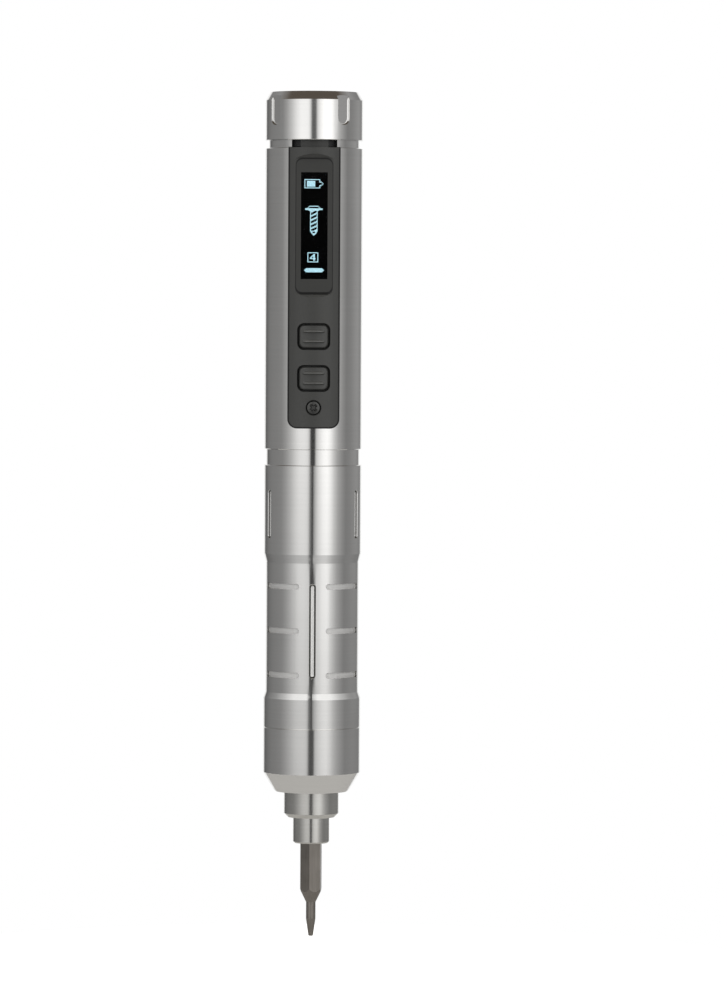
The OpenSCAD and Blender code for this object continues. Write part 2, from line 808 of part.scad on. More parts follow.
module port_insert() {
    color("#202022") difference() {
        rotate_extrude() polygon([
            [0, insert_bottom], [insert_r, insert_bottom], [insert_r, spigot_top],
            [port_r, spigot_top], [port_r, insert_face - edge], [port_r - edge, insert_face],
            [0, insert_face]
        ]);
        translate([0, 0, insert_bottom - 1]) linear_extrude(insert_face - insert_bottom + 2)
            stadium(usb_w + 2 * usb_gap, usb_t + 2 * usb_gap);
    }
}

// ---- tail ----

module tail_gasket() {
    color("#303030") tube(spigot_r, tail_bore_r + seat_gap, spigot_top, spigot_top + gasket_t);
}

// notch milled into the cap's side, open at the end
module cap_notch() {
    low = cap_top - notch_len + notch_w / 2;
    translate([body_r - notch_depth, 0, low]) rotate([0, 90, 0]) cylinder(d = notch_w, h = 2);
    translate([body_r - notch_depth, -notch_w / 2, low]) cube([2, notch_w, notch_len]);
}

module tail_cap() {
    color("silver") difference() {
        rotate_extrude() polygon([
            [spigot_r + cap_gap, neck_top], [body_r - edge, neck_top], [body_r, neck_top + edge],
            [body_r, cap_top - cap_bevel_len], [body_r - cap_bevel_w, cap_top],
            [port_r + cap_gap + edge, cap_top], [port_r + cap_gap, cap_top - edge],
            [port_r + cap_gap, cap_web_z], [spigot_r + cap_gap, cap_web_z]
        ]);
        for (i = [0:3]) rotate([0, 0, notch_turn + 90 * i]) cap_notch();
    }
}

// ---- motor ----

module motor_can() {
    color("#a8abad") difference() {
        tube(can_r, 0, motor_front, motor_rear);
        tube(can_bore_r, 0, motor_front + can_front_t, motor_rear + 1);
        tube(bush_r, 0, motor_front - 1, motor_front + can_front_t + 1);
        for (s = [-1, 1]) translate([0, s * motor_screw_y, motor_front - 1])
            cylinder(r = motor_screw_r + 0.02, h = can_front_t + 2);
    }
}

module motor_magnets() {
    color("#4b4b4f") difference() {
        tube(can_bore_r - run_gap, armature_r + magnet_gap, magnet_bottom, magnet_bottom + magnet_len);
        translate([-body_r, -1, magnet_bottom - 1]) cube([2 * body_r, 2, magnet_len + 2]);
    }
}

module motor_bushes() {
    color("#b08d57") for (z = [front_bush_z, rear_bush_z])
        tube(bush_r - 0.02, motor_shaft_r + bush_gap, z, z + bush_len);
}

module motor_end_cap() {
    color("#e8e4d8") difference() {
        union() {
            tube(can_r, 0, motor_rear, motor_rear + end_cap_t);
            tube(can_bore_r - seat_gap, can_bore_r - 1, motor_rear - 1.8, motor_rear);
            tube(bush_r + 0.9, 0, motor_rear - 0.9, motor_rear + end_cap_t + 0.6);
        }
        tube(bush_r, 0, motor_rear - 2, motor_rear + end_cap_t + 1);
        for (s = [0, 180]) rotate([0, 0, s])
            translate([brush_arm_x - 0.02, -brush_w / 2 - 0.02, motor_rear - 1])
                cube([brush_arm_t + 0.04, brush_w + 0.04, end_cap_t + 2]);
    }
}

// carbon brushes on copper arms that pass through the end cap and end in terminals
module motor_brushes() {
    brush_z = commutator_z + 0.5;
    terminal_z = motor_rear + end_cap_t;
    color("#c77b4a") for (s = [0, 180]) rotate([0, 0, s]) {
        translate([commutator_r + brush_gap, -brush_w / 2, brush_z])
            cube([brush_arm_x - commutator_r - brush_gap + 0.1, brush_w, 1.5]);
        translate([brush_arm_x, -brush_w / 2, brush_z])
            cube([brush_arm_t, brush_w, terminal_z + 0.3 - brush_z]);
        translate([brush_arm_x, -brush_w / 2, terminal_z])
            cube([terminal_x + 0.2 - brush_arm_x, brush_w, 0.3]);
        translate([terminal_x - 0.2, -brush_w / 2, terminal_z]) cube([0.4, brush_w, terminal_len]);
    }
}

// round lead through a list of points that climbs along the tool
module lead(route) {
    sides = 8;
    last = len(route) - 1;
    polyhedron(
        points = [for (p = route, k = [0:sides - 1])
            p + [lead_r * cos(360 * k / sides), lead_r * sin(360 * k / sides), 0]],
        faces = concat(
            [[for (k = [sides - 1:-1:0]) last * sides + sides - 1 - k]],
            [[for (k = [sides - 1:-1:0]) k]],
            [for (i = [0:last - 1], k = [0:sides - 1]) let (n = (k + 1) % sides)
                [i * sides + k, i * sides + n, (i + 1) * sides + n, (i + 1) * sides + k]]
        )
    );
}

module motor_leads() {
    start_z = motor_rear + end_cap_t + terminal_len;
    end_y = -(board_front + board_t / 2);
    end_x = 3.6;
    climb = board_bottom - start_z;
    color("firebrick") for (s = [-1, 1]) lead([for (i = [0:10])
        let (t = i / 10, sway = (1 - cos(180 * min(1, t * 1.6))) / 2)
        [s * (terminal_x + (end_x - terminal_x) * sway), end_y * sway, start_z + t * climb]]);
}

module armature() {
    color("#8d9094") translate([0, 0, core_z]) linear_extrude(core_len) difference() {
        union() {
            circle(2.2);
            for (i = [0:2]) rotate(120 * i) {
                translate([0, -pole_neck_w / 2]) square([armature_r - 0.6, pole_neck_w]);
                intersection() {
                    difference() {
                        circle(armature_r);
                        circle(armature_r - 1);
                    }
                    polygon([[0, 0], polar(2 * armature_r, -49), [2 * armature_r, 0],
                        polar(2 * armature_r, 49)]);
                }
            }
        }
        circle(motor_shaft_r + 0.01);
    }
}

module windings() {
    inner = 2.5;
    outer = armature_r - 1.1;
    half_w = 2.2;
    color("#b4602c") for (i = [0:2]) rotate([0, 0, 120 * i]) difference() {
        intersection() {
            translate([inner, -half_w, core_z - coil_overhang])
                cube([outer - inner, 2 * half_w, core_len + 2 * coil_overhang]);
            translate([0, 0, core_z - coil_overhang - 1])
                cylinder(r = outer, h = core_len + 2 * coil_overhang + 2);
        }
        translate([inner - 1, -pole_neck_w / 2 - 0.02, core_z - 0.02])
            cube([outer, pole_neck_w + 0.04, core_len + 0.04]);
    }
}

module commutator() {
    color("#b87333") difference() {
        tube(commutator_r, motor_shaft_r + 0.01, commutator_z, commutator_z + commutator_len);
        thrice() rotate([0, 0, 60]) translate([commutator_r - 0.4, -0.1, commutator_z - 1])
            cube([1, 0.2, commutator_len + 2]);
    }
}

module motor_shaft() {
    color("#c4c6c8") tube(motor_shaft_r, 0, first_z + stack_gap, rear_bush_z + bush_len - end_gap);
}

module motor_pinion() {
    color("#c9a24a") outer_gear(sun_teeth, motor_shaft_r + 0.01, first_z + stack_gap,
        first_z + gear_w + end_gap);
}

// ---- gearbox ----

module gearbox_plate() {
    color("#9a9da0") difference() {
        tube(core_r - seat_gap, gear_module * sun_teeth / 2 + addendum + end_gap,
            gearbox_top, motor_front);
        for (s = [-1, 1]) translate([0, s * motor_screw_y, gearbox_top - 1]) {
            cylinder(r = motor_screw_r + 0.02, h = gearbox_plate_t + 2);
            cylinder(r = motor_screw_head_r + seat_gap, h = 1.1 + motor_screw_head_t);
        }
    }
}

module gearbox_screws() {
    color("#55575a") for (s = [-1, 1]) translate([0, s * motor_screw_y, gearbox_top + 0.1]) {
        cylinder(r = motor_screw_head_r, h = motor_screw_head_t);
        cylinder(r = motor_screw_r, h = gearbox_plate_t + can_front_t);
    }
}

module ring_gear() {
    color("#85888b") translate([0, 0, gearbox_bottom]) difference() {
        cylinder(r = core_r - seat_gap, h = gearbox_top - gearbox_bottom);
        translate([0, 0, -1]) linear_extrude(gearbox_top - gearbox_bottom + 2)
            rotate(180 * (planet_teeth - 1) / ring_teeth)
                toothed(ring_teeth, ring_tip_r, ring_root_r, -backlash);
    }
}

module first_carrier() {
    color("#a3a6a9") difference() {
        tube(carrier_r, 0.8, first_carrier_z, first_carrier_z + first_plate_t);
        planet_pins(first_carrier_z - 1, first_carrier_z + first_plate_t + 1);
    }
}

module first_planet_pins() {
    color("#d0d2d4") planet_pins(first_carrier_z, first_z + gear_w + 0.05);
}

module second_sun() {
    color("#c9a24a") outer_gear(sun_teeth, 0.8, second_z + stack_gap, first_carrier_z);
}

module first_planet_1() { color("#c9a24a") planet(0, first_z); }
module first_planet_2() { color("#c9a24a") planet(1, first_z); }
module first_planet_3() { color("#c9a24a") planet(2, first_z); }

module output_carrier() {
    color("#a3a6a9") difference() {
        union() {
            tube(carrier_r, 0, output_z, output_z + output_plate_t);
            tube(hub_r, 0, output_z - hub_len, output_z);
        }
        translate([0, 0, output_z - hub_len - 1]) linear_extrude(hub_len + output_plate_t + 2)
            shaft_section(0.01);
        planet_pins(output_z - 1, output_z + output_plate_t + 1);
    }
}

module second_planet_pins() {
    color("#d0d2d4") planet_pins(output_z, second_z + gear_w + 0.05);
}

module second_planet_1() { color("#c9a24a") planet(0, second_z); }
module second_planet_2() { color("#c9a24a") planet(1, second_z); }
module second_planet_3() { color("#c9a24a") planet(2, second_z); }

// ---- spindle, bearing and bit ----

// round shaft with two flats
module shaft_section(grow) {
    intersection() {
        circle(shaft_r + grow);
        square([3 * shaft_r, 2 * (shaft_r - shaft_flat + grow)], center = true);
    }
}

module hexagon(af, z0, z1) {
    rotate([0, 0, bit_turn]) translate([0, 0, z0])
        cylinder(r = af / sqrt(3), h = z1 - z0, $fn = 6);
}

module spindle() {
    color("#b5b5b2") difference() {
        union() {
            rotate_extrude() polygon([
                [0, spindle_end], [spindle_nose_r - 0.3, spindle_end],
                [spindle_nose_r, spindle_end + 0.3], [spindle_nose_r, collar_end - run_gap],
                [spindle_neck_r, collar_end - run_gap], [spindle_neck_r, bearing_z - run_gap],
                [journal_r, bearing_z - run_gap], [journal_r, clip_z],
                [journal_r - clip_groove, clip_z], [journal_r - clip_groove, clip_z + clip_t],
                [journal_r, clip_z + clip_t], [journal_r, journal_top], [0, journal_top]
            ]);
            translate([0, 0, clip_z]) linear_extrude(output_z + output_plate_t - clip_z)
                shaft_section(0);
        }
        hexagon(hex_af + 2 * socket_gap, spindle_end - 1, socket_top);
        tube(magnet_r + socket_gap, 0, socket_top - 1, socket_top + magnet_t);
        translate([0, 0, spindle_end - 0.01])
            cylinder(r1 = hex_af / sqrt(3) + 0.35, r2 = hex_af / 2 - 0.1, h = 0.9);
    }
}

module spindle_clip() {
    color("#8f9295") difference() {
        tube(journal_r + clip_rim, journal_r - clip_groove + 0.02, clip_z, clip_z + clip_t);
        translate([0, -journal_r * 0.7, clip_z - 1]) cube([2 * journal_r, 1.4 * journal_r, clip_t + 2]);
    }
}

module socket_magnet() {
    color("#d6d8da") tube(magnet_r, 0, socket_top, socket_top + magnet_t);
}

// groove that the balls run in
module ball_groove() {
    translate([0, 0, bearing_z + bearing_w / 2]) rotate_extrude()
        translate([ball_circle_r, 0]) circle(groove_r);
}

module bearing_outer_race() {
    color("#c2c5c8") difference() {
        tube(bearing_r, bearing_r - race_t, bearing_z, bearing_top);
        ball_groove();
    }
}

module bearing_inner_race() {
    color("#c2c5c8") difference() {
        tube(journal_r + race_t, journal_r + 0.01, bearing_z, bearing_top);
        ball_groove();
    }
}

module bearing_balls() {
    color("#dfe1e3") for (i = [0:balls - 1]) rotate([0, 0, 360 * i / balls])
        translate([ball_circle_r, 0, bearing_z + bearing_w / 2]) sphere(r = ball_r);
}

module bearing_cage() {
    middle = bearing_z + bearing_w / 2;
    color("#d9b36c") difference() {
        tube(ball_circle_r + cage_t / 2, ball_circle_r - cage_t / 2, middle - cage_h / 2,
            middle + cage_h / 2);
        for (i = [0:balls - 1]) rotate([0, 0, 360 * i / balls])
            translate([ball_circle_r, 0, middle]) sphere(r = ball_r + 0.03);
    }
}

// spring ring with a gap and two lugs, in the nose cone's groove
module bearing_circlip() {
    color("#6f7275") difference() {
        union() {
            tube(bearing_r + circlip_groove - 0.03, bearing_r - 0.7, circlip_z, circlip_z + circlip_t);
            for (a = [-16, 16]) rotate([0, 0, a]) translate([bearing_r - 0.8, 0, circlip_z])
                cylinder(r = 0.9, h = circlip_t);
        }
        rotate([0, 0, -8]) translate([0, 0, circlip_z - 1])
            rotate_extrude(angle = 16) square([body_r, circlip_t + 2]);
        for (a = [-16, 16]) rotate([0, 0, a]) translate([bearing_r - 0.8, 0, circlip_z - 1])
            cylinder(r = 0.4, h = circlip_t + 2);
    }
}

// hexagonal shank, cone, round neck and a cross tip whose flutes deepen towards the end
module driver_bit() {
    neck_bottom = bit_end + tip_len;
    corner_r = hex_af / sqrt(3);
    color("#6b6762") difference() {
        intersection() {
            hexagon(hex_af, bit_end, bit_top);
            rotate_extrude() polygon([
                [0, bit_end], [tip_r - 0.12, bit_end], [tip_r, bit_end + 0.12],
                [bit_neck_r, neck_bottom], [bit_neck_r, neck_bottom + bit_neck_len],
                [corner_r + 0.1, shank_bottom], [corner_r + 0.1, bit_top - bit_bevel],
                [corner_r - bit_bevel, bit_top], [0, bit_top]
            ]);
        }
        for (i = [0:3]) rotate([0, 0, bit_turn + 15 + 90 * i])
            translate([bit_neck_r - 0.02, 0, bit_end + flute_len]) rotate([0, 10, 0])
                rotate([0, 0, -45]) translate([0, 0, -2 * flute_len])
                    cube([2, 2, 2 * flute_len]);
    }
}

lower_body();
upper_body();
coupling_ring();
nose_cone();
front_collar();
control_panel();
display_window();
oled_display();
panel_screw();
control_board();
board_chips();
tactile_switches();
battery_cell();
battery_contacts();
battery_cradle();
port_insert();
usb_socket();
charging_board();
motor_can();
motor_magnets();
motor_bushes();
motor_end_cap();
motor_brushes();
motor_leads();
gearbox_plate();
gearbox_screws();
ring_gear();
bearing_outer_race();
bearing_circlip();
tail_gasket();
tail_cap();
upper_button();
lower_button();
armature();
windings();
commutator();
motor_shaft();
motor_pinion();
first_carrier();
first_planet_pins();
second_sun();
first_planet_1();
first_planet_2();
first_planet_3();
spindle();
output_carrier();
second_planet_pins();
spindle_clip();
bearing_inner_race();
socket_magnet();
second_planet_1();
second_planet_2();
second_planet_3();
bearing_cage();
bearing_balls();
driver_bit();
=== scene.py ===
# %% [markdown]
# # An electric torque screwdriver, dressed in Blender
# The tool is a turned aluminium tube with a moulded control panel, a small dot display and a
# magnetic socket for precision bits. The solids come packed from CAD, already in place, and this
# lesson gives them a camera, a soft studio, finishes and the fine pieces that CAD leaves out.
# +Z runs from the bit to the tail and -Y comes out of the control panel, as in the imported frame.

# %% Load the frame
import json
import math

import bmesh
import bpy
from mathutils import Matrix, Quaternion, Vector


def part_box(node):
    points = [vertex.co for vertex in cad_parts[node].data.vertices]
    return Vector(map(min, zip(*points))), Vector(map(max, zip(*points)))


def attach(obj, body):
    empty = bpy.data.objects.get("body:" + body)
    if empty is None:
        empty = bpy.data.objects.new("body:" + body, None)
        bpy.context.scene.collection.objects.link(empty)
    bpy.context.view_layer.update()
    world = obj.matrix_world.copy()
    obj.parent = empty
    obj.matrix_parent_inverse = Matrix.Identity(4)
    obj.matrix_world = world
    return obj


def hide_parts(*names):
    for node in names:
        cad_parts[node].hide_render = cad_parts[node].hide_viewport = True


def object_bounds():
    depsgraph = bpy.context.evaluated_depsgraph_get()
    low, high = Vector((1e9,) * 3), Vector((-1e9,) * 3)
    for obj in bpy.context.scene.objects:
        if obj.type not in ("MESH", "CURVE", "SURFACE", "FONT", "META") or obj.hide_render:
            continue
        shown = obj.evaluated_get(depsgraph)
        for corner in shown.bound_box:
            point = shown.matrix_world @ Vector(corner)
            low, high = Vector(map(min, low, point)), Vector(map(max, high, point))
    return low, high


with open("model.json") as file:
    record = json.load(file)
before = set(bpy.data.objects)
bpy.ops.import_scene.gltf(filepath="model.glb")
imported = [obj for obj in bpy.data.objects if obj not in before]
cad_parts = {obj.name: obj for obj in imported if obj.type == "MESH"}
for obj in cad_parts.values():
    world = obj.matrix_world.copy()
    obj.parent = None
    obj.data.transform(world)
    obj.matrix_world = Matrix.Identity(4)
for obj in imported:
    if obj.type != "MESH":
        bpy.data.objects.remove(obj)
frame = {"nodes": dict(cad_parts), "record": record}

MM = 0.001
cad_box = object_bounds()
print("the packed tool, in mm:", [[round(v / MM, 2) for v in corner] for corner in cad_box])

# %% [markdown]
# ## The camera
# A tool this slim is pictured from about a metre away through a long lens, so that its sides stay
# parallel. The camera stands almost in front of the panel and a little above the middle of the
# tool, and it aims beside the tool, which leaves room at the right. A small roll lets the tool
# lean by a quarter of a degree.

# %% Camera
CAMERA_PLACE = Vector((-0.0080, -1.070, 0.039))
CAMERA_AIM = Vector((0.0102, 0.0, 0.0018))
LENS_MM = 192.2
LEAN = math.radians(0.285)

camera = bpy.data.objects.new("camera", bpy.data.cameras.new("camera"))
camera.data.lens = LENS_MM
camera.location = CAMERA_PLACE
aim = (CAMERA_AIM - CAMERA_PLACE).to_track_quat("-Z", "Y")
camera.rotation_euler = (aim @ Quaternion((0, 0, 1), LEAN)).to_euler()
bpy.context.scene.collection.objects.link(camera)
bpy.context.scene.camera = camera
bpy.context.scene.view_settings.view_transform = "Standard"
print("camera at", [round(v, 4) for v in CAMERA_PLACE], "with a lens of", LENS_MM, "mm")

# %% [markdown]
# ## Three helpers
# Colours are picked as they look on a screen, in hexadecimal sRGB, but a shader works in linear
# light, so one function turns one into the other. Another adds a node to a tree, with its
# settings, its values and its links in one line, which keeps the materials short to read. The
# third starts a material with an empty tree.

# %% Helpers for colours and nodes
def linear(hex_colour):
    """Linear RGBA of an sRGB colour such as "#c0c0c0"."""
    parts = [int(hex_colour[i:i + 2], 16) / 255 for i in (1, 3, 5)]
    return tuple(p / 12.92 if p <= 0.04045 else ((p + 0.055) / 1.055) ** 2.4 for p in parts) + (1,)


def add(tree, kind, inputs=None, **settings):
    """Adds a node. Each input gets a value, or a link if it is given another node's output."""
    made = tree.nodes.new(kind)
    for name, value in settings.items():
        setattr(made, name, value)
    for socket, value in (inputs or {}).items():
        if isinstance(value, bpy.types.NodeSocket):
            tree.links.new(value, made.inputs[socket])
        else:
            made.inputs[socket].default_value = value
    return made


def new_tree(name):
    """A new material and its empty node tree."""
    material = bpy.data.materials.new(name)
    material.use_nodes = True
    material.node_tree.nodes.clear()
    return material, material.node_tree


print("a mid grey of #808080 is", round(linear("#808080")[0], 4), "in linear light")

# %% [markdown]
# ## The studio
# Turned metal shows nothing but its surroundings, so the studio is most of its look. Around the
# tool stands a light tent with two tall diffusers, one on each side of the camera. Each is
# brightest in its middle and fades outwards, and the narrow dark gap between them, where the
# camera looks through, gives every cylinder its thin dark line. The rest of the tent is plain
# grey. The tent could be built of lit cards, but the world does it without their noise: tables of
# degrees and brightness, one for each height, give its strength by compass direction. Below the
# horizon the diffusers fade, a little above it the gap is less dark, high up the light spreads
# further round, and the roof is a darker, warmer cloth. The white backdrop stands behind the tool.
# The camera sees that white wherever it looks past the tool, and metal and glass see it in the
# backdrop's own direction.

# %% World
TENT_LEVEL = [  # degrees from the camera's side, to the right, and linear brightness
    (-180, 0.10), (-150, 0.12), (-128, 0.22), (-112, 0.24), (-95, 0.25), (-80, 0.27), (-68, 0.38),
    (-55, 0.58), (-42, 0.90), (-32, 1.10), (-22, 1.12), (-14, 1.06), (-8.5, 0.80), (-5.5, 0.02),
    (4.5, 0.02), (7.5, 0.74), (14, 1.05), (24, 1.38), (34, 1.50), (43, 1.25), (52, 0.80), (62, 0.48),
    (74, 0.32), (85, 0.23), (100, 0.26), (118, 0.33), (130, 0.35), (150, 0.26), (180, 0.10),
]
TENT_LOW = [
    (-180, 0.10), (-150, 0.12), (-128, 0.18), (-112, 0.22), (-95, 0.24), (-80, 0.27), (-68, 0.34),
    (-55, 0.44), (-40, 0.56), (-22, 0.60), (-14, 0.58), (-10.5, 0.46), (-7.5, 0.09), (3.5, 0.09),
    (6.5, 0.50), (14, 0.62), (24, 0.72), (34, 0.76), (43, 0.64), (52, 0.48), (62, 0.38), (74, 0.30),
    (85, 0.24), (110, 0.26), (150, 0.22), (180, 0.10),
]
TENT_ABOVE = [
    (-180, 0.10), (-150, 0.12), (-128, 0.22), (-112, 0.24), (-95, 0.25), (-80, 0.27), (-68, 0.42),
    (-55, 0.68), (-42, 1.00), (-32, 1.16), (-14, 1.16), (-9, 0.75), (-6, 0.20), (3, 0.20), (6, 0.75),
    (14, 1.15), (24, 1.40), (43, 1.30), (52, 0.85), (62, 0.52), (74, 0.36), (85, 0.24), (100, 0.27),
    (130, 0.35), (150, 0.26), (180, 0.10),
]
TENT_HIGH = [
    (-180, 0.20), (-140, 0.25), (-100, 0.35), (-75, 0.60), (-50, 1.00), (-14, 1.10), (-10.5, 0.80),
    (-7.5, 0.05), (3.5, 0.05), (6.5, 0.80), (14, 1.15), (50, 1.10), (75, 0.65), (100, 0.40), (140, 0.25),
    (180, 0.20),
]
STEPS_UP = (-0.09, 0.0), (0.026, 0.036), (0.22, 0.36), (0.60, 0.76)  # sines of elevation, table to table
ROOF_CLOTH = "#4c463f"
BACKDROP_STARTS, BACKDROP_FULL = 150, 158  # degrees either way from the camera's side

world = bpy.data.worlds.new("studio")
bpy.context.scene.world = world
world.use_nodes = True
tree = world.node_tree
tree.nodes.clear()
place = add(tree, "ShaderNodeTexCoord")
split = add(tree, "ShaderNodeSeparateXYZ", {0: place.outputs["Generated"]})
front = add(tree, "ShaderNodeMath", {0: split.outputs["Y"], 1: -1.0}, operation="MULTIPLY")
compass = add(tree, "ShaderNodeMath", {0: split.outputs["X"], 1: front.outputs[0]}, operation="ARCTAN2")
share = add(tree, "ShaderNodeMapRange", {
    "Value": compass.outputs[0], "From Min": -math.pi, "From Max": math.pi})
STUDIO_PEAK = max(level for table in (TENT_LOW, TENT_LEVEL, TENT_ABOVE, TENT_HIGH) for _, level in table)


def by_compass(table):
    """The colour socket of a ramp that gives the table's brightness, as a share of the peak."""
    ramp = add(tree, "ShaderNodeValToRGB", {"Fac": share.outputs["Result"]})
    while len(ramp.color_ramp.elements) < len(table):
        ramp.color_ramp.elements.new(0.5)
    for element, (degrees, level) in zip(ramp.color_ramp.elements, table):
        element.position = (degrees + 180) / 360
        element.color = (level / STUDIO_PEAK,) * 3 + (1,)
    return ramp.outputs["Color"]


cloth = by_compass(TENT_LOW)
layers = by_compass(TENT_LEVEL), by_compass(TENT_ABOVE), by_compass(TENT_HIGH), linear(ROOF_CLOTH)
for (start, end), upper in zip(STEPS_UP, layers):
    height = add(tree, "ShaderNodeMapRange", {
        "Value": split.outputs["Z"], "From Min": start, "From Max": end})
    blend = add(tree, "ShaderNodeMix", {0: height.outputs["Result"], 6: cloth, 7: upper}, data_type="RGBA")
    cloth = blend.outputs[2]
tent = add(tree, "ShaderNodeBackground", {"Color": cloth, "Strength": STUDIO_PEAK})
white = add(tree, "ShaderNodeBackground", {"Color": (1, 1, 1, 1), "Strength": 1.0})
round_to = add(tree, "ShaderNodeMath", {0: compass.outputs[0]}, operation="ABSOLUTE")
behind = add(tree, "ShaderNodeMapRange", {
    "Value": round_to.outputs[0], "From Min": math.radians(BACKDROP_STARTS),
    "From Max": math.radians(BACKDROP_FULL)})
seen = add(tree, "ShaderNodeLightPath")
by_things = add(tree, "ShaderNodeMath", {
    0: seen.outputs["Is Glossy Ray"], 1: seen.outputs["Is Transmission Ray"]}, operation="MAXIMUM")
there = add(tree, "ShaderNodeMath", {
    0: by_things.outputs[0], 1: behind.outputs["Result"]}, operation="MULTIPLY")
direct = add(tree, "ShaderNodeMath", {
    0: seen.outputs["Is Camera Ray"], 1: there.outputs[0]}, operation="MAXIMUM")
both = add(tree, "ShaderNodeMixShader", {0: direct.outputs[0], 1: tent.outputs[0], 2: white.outputs[0]})
add(tree, "ShaderNodeOutputWorld", {"Surface": both.outputs[0]})
print("the studio's brightest spot is", STUDIO_PEAK)

# %% [markdown]
# ## The floor and the lamps
# The tool stands over a plain round sheet of warm white paper, which lies as low as the tip of
# the bit comes when it is drawn out of its socket, so that the tip is seen in every pose. A
# share of plain light, which the camera and glass see and metal a little, lifts the paper to the
# white of the backdrop, and the rest still shows the tool's shadow. The sheet is small, so that
# the metal mirrors the tent and only the nose mirrors the paper. Two big soft lamps in front
# light the plastic parts from the same sides as the diffusers do, and a small one overhead gives
# ribs, rims and slots a lighter upper edge.

# %% Floor and lamps
FLOOR_R, FLOOR_GAP = 0.11, 0.2 * MM
LIFT_SEEN, LIFT_MIRRORED = 0.80, 0.02  # strength of the paper's own light for the camera and for metal
PAPER_GRAIN = 400.0  # per metre, so the mottle is a few millimetres across


def circle(radius):
    """A point every three degrees round a circle about the origin."""
    return [(radius * math.cos(math.radians(a)), radius * math.sin(math.radians(a)))
            for a in range(0, 360, 3)]


joints = {joint["name"]: joint for joint in frame["record"]["behaviour"]["joints"]}
level = cad_box[0][2] - joints["bit_pull"]["range_m"][1] - FLOOR_GAP
rim = [(x, y, level) for x, y in circle(FLOOR_R)]
floor_mesh = bpy.data.meshes.new("floor")
floor_mesh.from_pydata(rim, [], [tuple(range(len(rim)))])
floor = bpy.data.objects.new("floor", floor_mesh)
bpy.context.scene.collection.objects.link(floor)

# Pulp paper, pressed: a warm white with a faint grain, which takes a soft shadow.
paper, tree = new_tree("floor_paper")
seen = add(tree, "ShaderNodeLightPath")
direct = add(tree, "ShaderNodeMath", {
    0: seen.outputs["Is Camera Ray"], 1: seen.outputs["Is Transmission Ray"]}, operation="MAXIMUM")
most = add(tree, "ShaderNodeMath", {0: direct.outputs[0], 1: LIFT_SEEN}, operation="MULTIPLY")
some = add(tree, "ShaderNodeMath", {0: seen.outputs["Is Glossy Ray"], 1: LIFT_MIRRORED}, operation="MULTIPLY")
lift = add(tree, "ShaderNodeMath", {0: most.outputs[0], 1: some.outputs[0]}, operation="MAXIMUM")
grain = add(tree, "ShaderNodeTexNoise", {"Scale": PAPER_GRAIN})
tint = add(tree, "ShaderNodeMix", {
    0: grain.outputs["Fac"], 6: linear("#cfcecb"), 7: linear("#d5d4d1")}, data_type="RGBA")
sheet = add(tree, "ShaderNodeBsdfDiffuse", {"Color": tint.outputs[2]})
glow = add(tree, "ShaderNodeEmission", {"Color": (1, 1, 1, 1), "Strength": lift.outputs[0]})
total = add(tree, "ShaderNodeAddShader", {0: sheet.outputs[0], 1: glow.outputs[0]})
add(tree, "ShaderNodeOutputMaterial", {"Surface": total.outputs[0]})
floor_mesh.materials.append(paper)

LAMPS = [  # place in metres, width and height in metres, watts
    ((-0.75, -1.0, 0.35), 0.5, 0.9, 1.3),
    ((0.75, -1.0, 0.35), 0.5, 0.9, 1.6),
    ((0.0, -0.35, 0.9), 0.3, 0.3, 5.0),
]
for spot, width, height, watts in LAMPS:
    lamp = bpy.data.lights.new("soft_lamp", "AREA")
    lamp.shape, lamp.size, lamp.size_y, lamp.energy = "RECTANGLE", width, height, watts
    lamp_object = bpy.data.objects.new("soft_lamp", lamp)
    lamp_object.location = spot
    lamp_object.rotation_euler = (-lamp_object.location).to_track_quat("-Z", "Y").to_euler()
    lamp_object.visible_glossy = False
    bpy.context.scene.collection.objects.link(lamp_object)
print("floor at", round(level / MM, 2), "mm,", len(LAMPS), "lamps")

# %% [markdown]
# ## Turned aluminium
# The casing is aluminium bar, turned on a lathe and clear anodised. The tool's point leaves rings
# round the axis a few hundredths of a millimetre apart. Real rings are too fine to show, so they
# are drawn 0.12 mm apart and faint. A pattern that depends only on the height and the distance
# from the axis gives rings on the cylinders and on the flat ends alike. The slots are milled
# after turning: the cutter leaves their floors matt, and their walls get painted shade, a darker
# colour. A table of heights and radii tells where the turned skin ends and a milled floor starts.

# %% Turned metals
TONE_LOW, TONE_HIGH = 0.7, 1.3  # two noises added up stay between these
MATT_LOW, MATT_HIGH, MATT_METAL = 0.42, 0.54, 0.45  # roughness and share of bare metal on a milled floor
# painted shade: the band just outside a milled floor, where its walls are, gets a darker colour
WALL_MM, PAINTED_WALL_SHADE = 0.2, "#6f6e6b"  # this much outside a milled floor its walls stand in the shade
METAL_CLOUDS = 90.0  # per metre, so a change of shade is about a centimetre across
PIT_DEEP = 0.0006 * MM


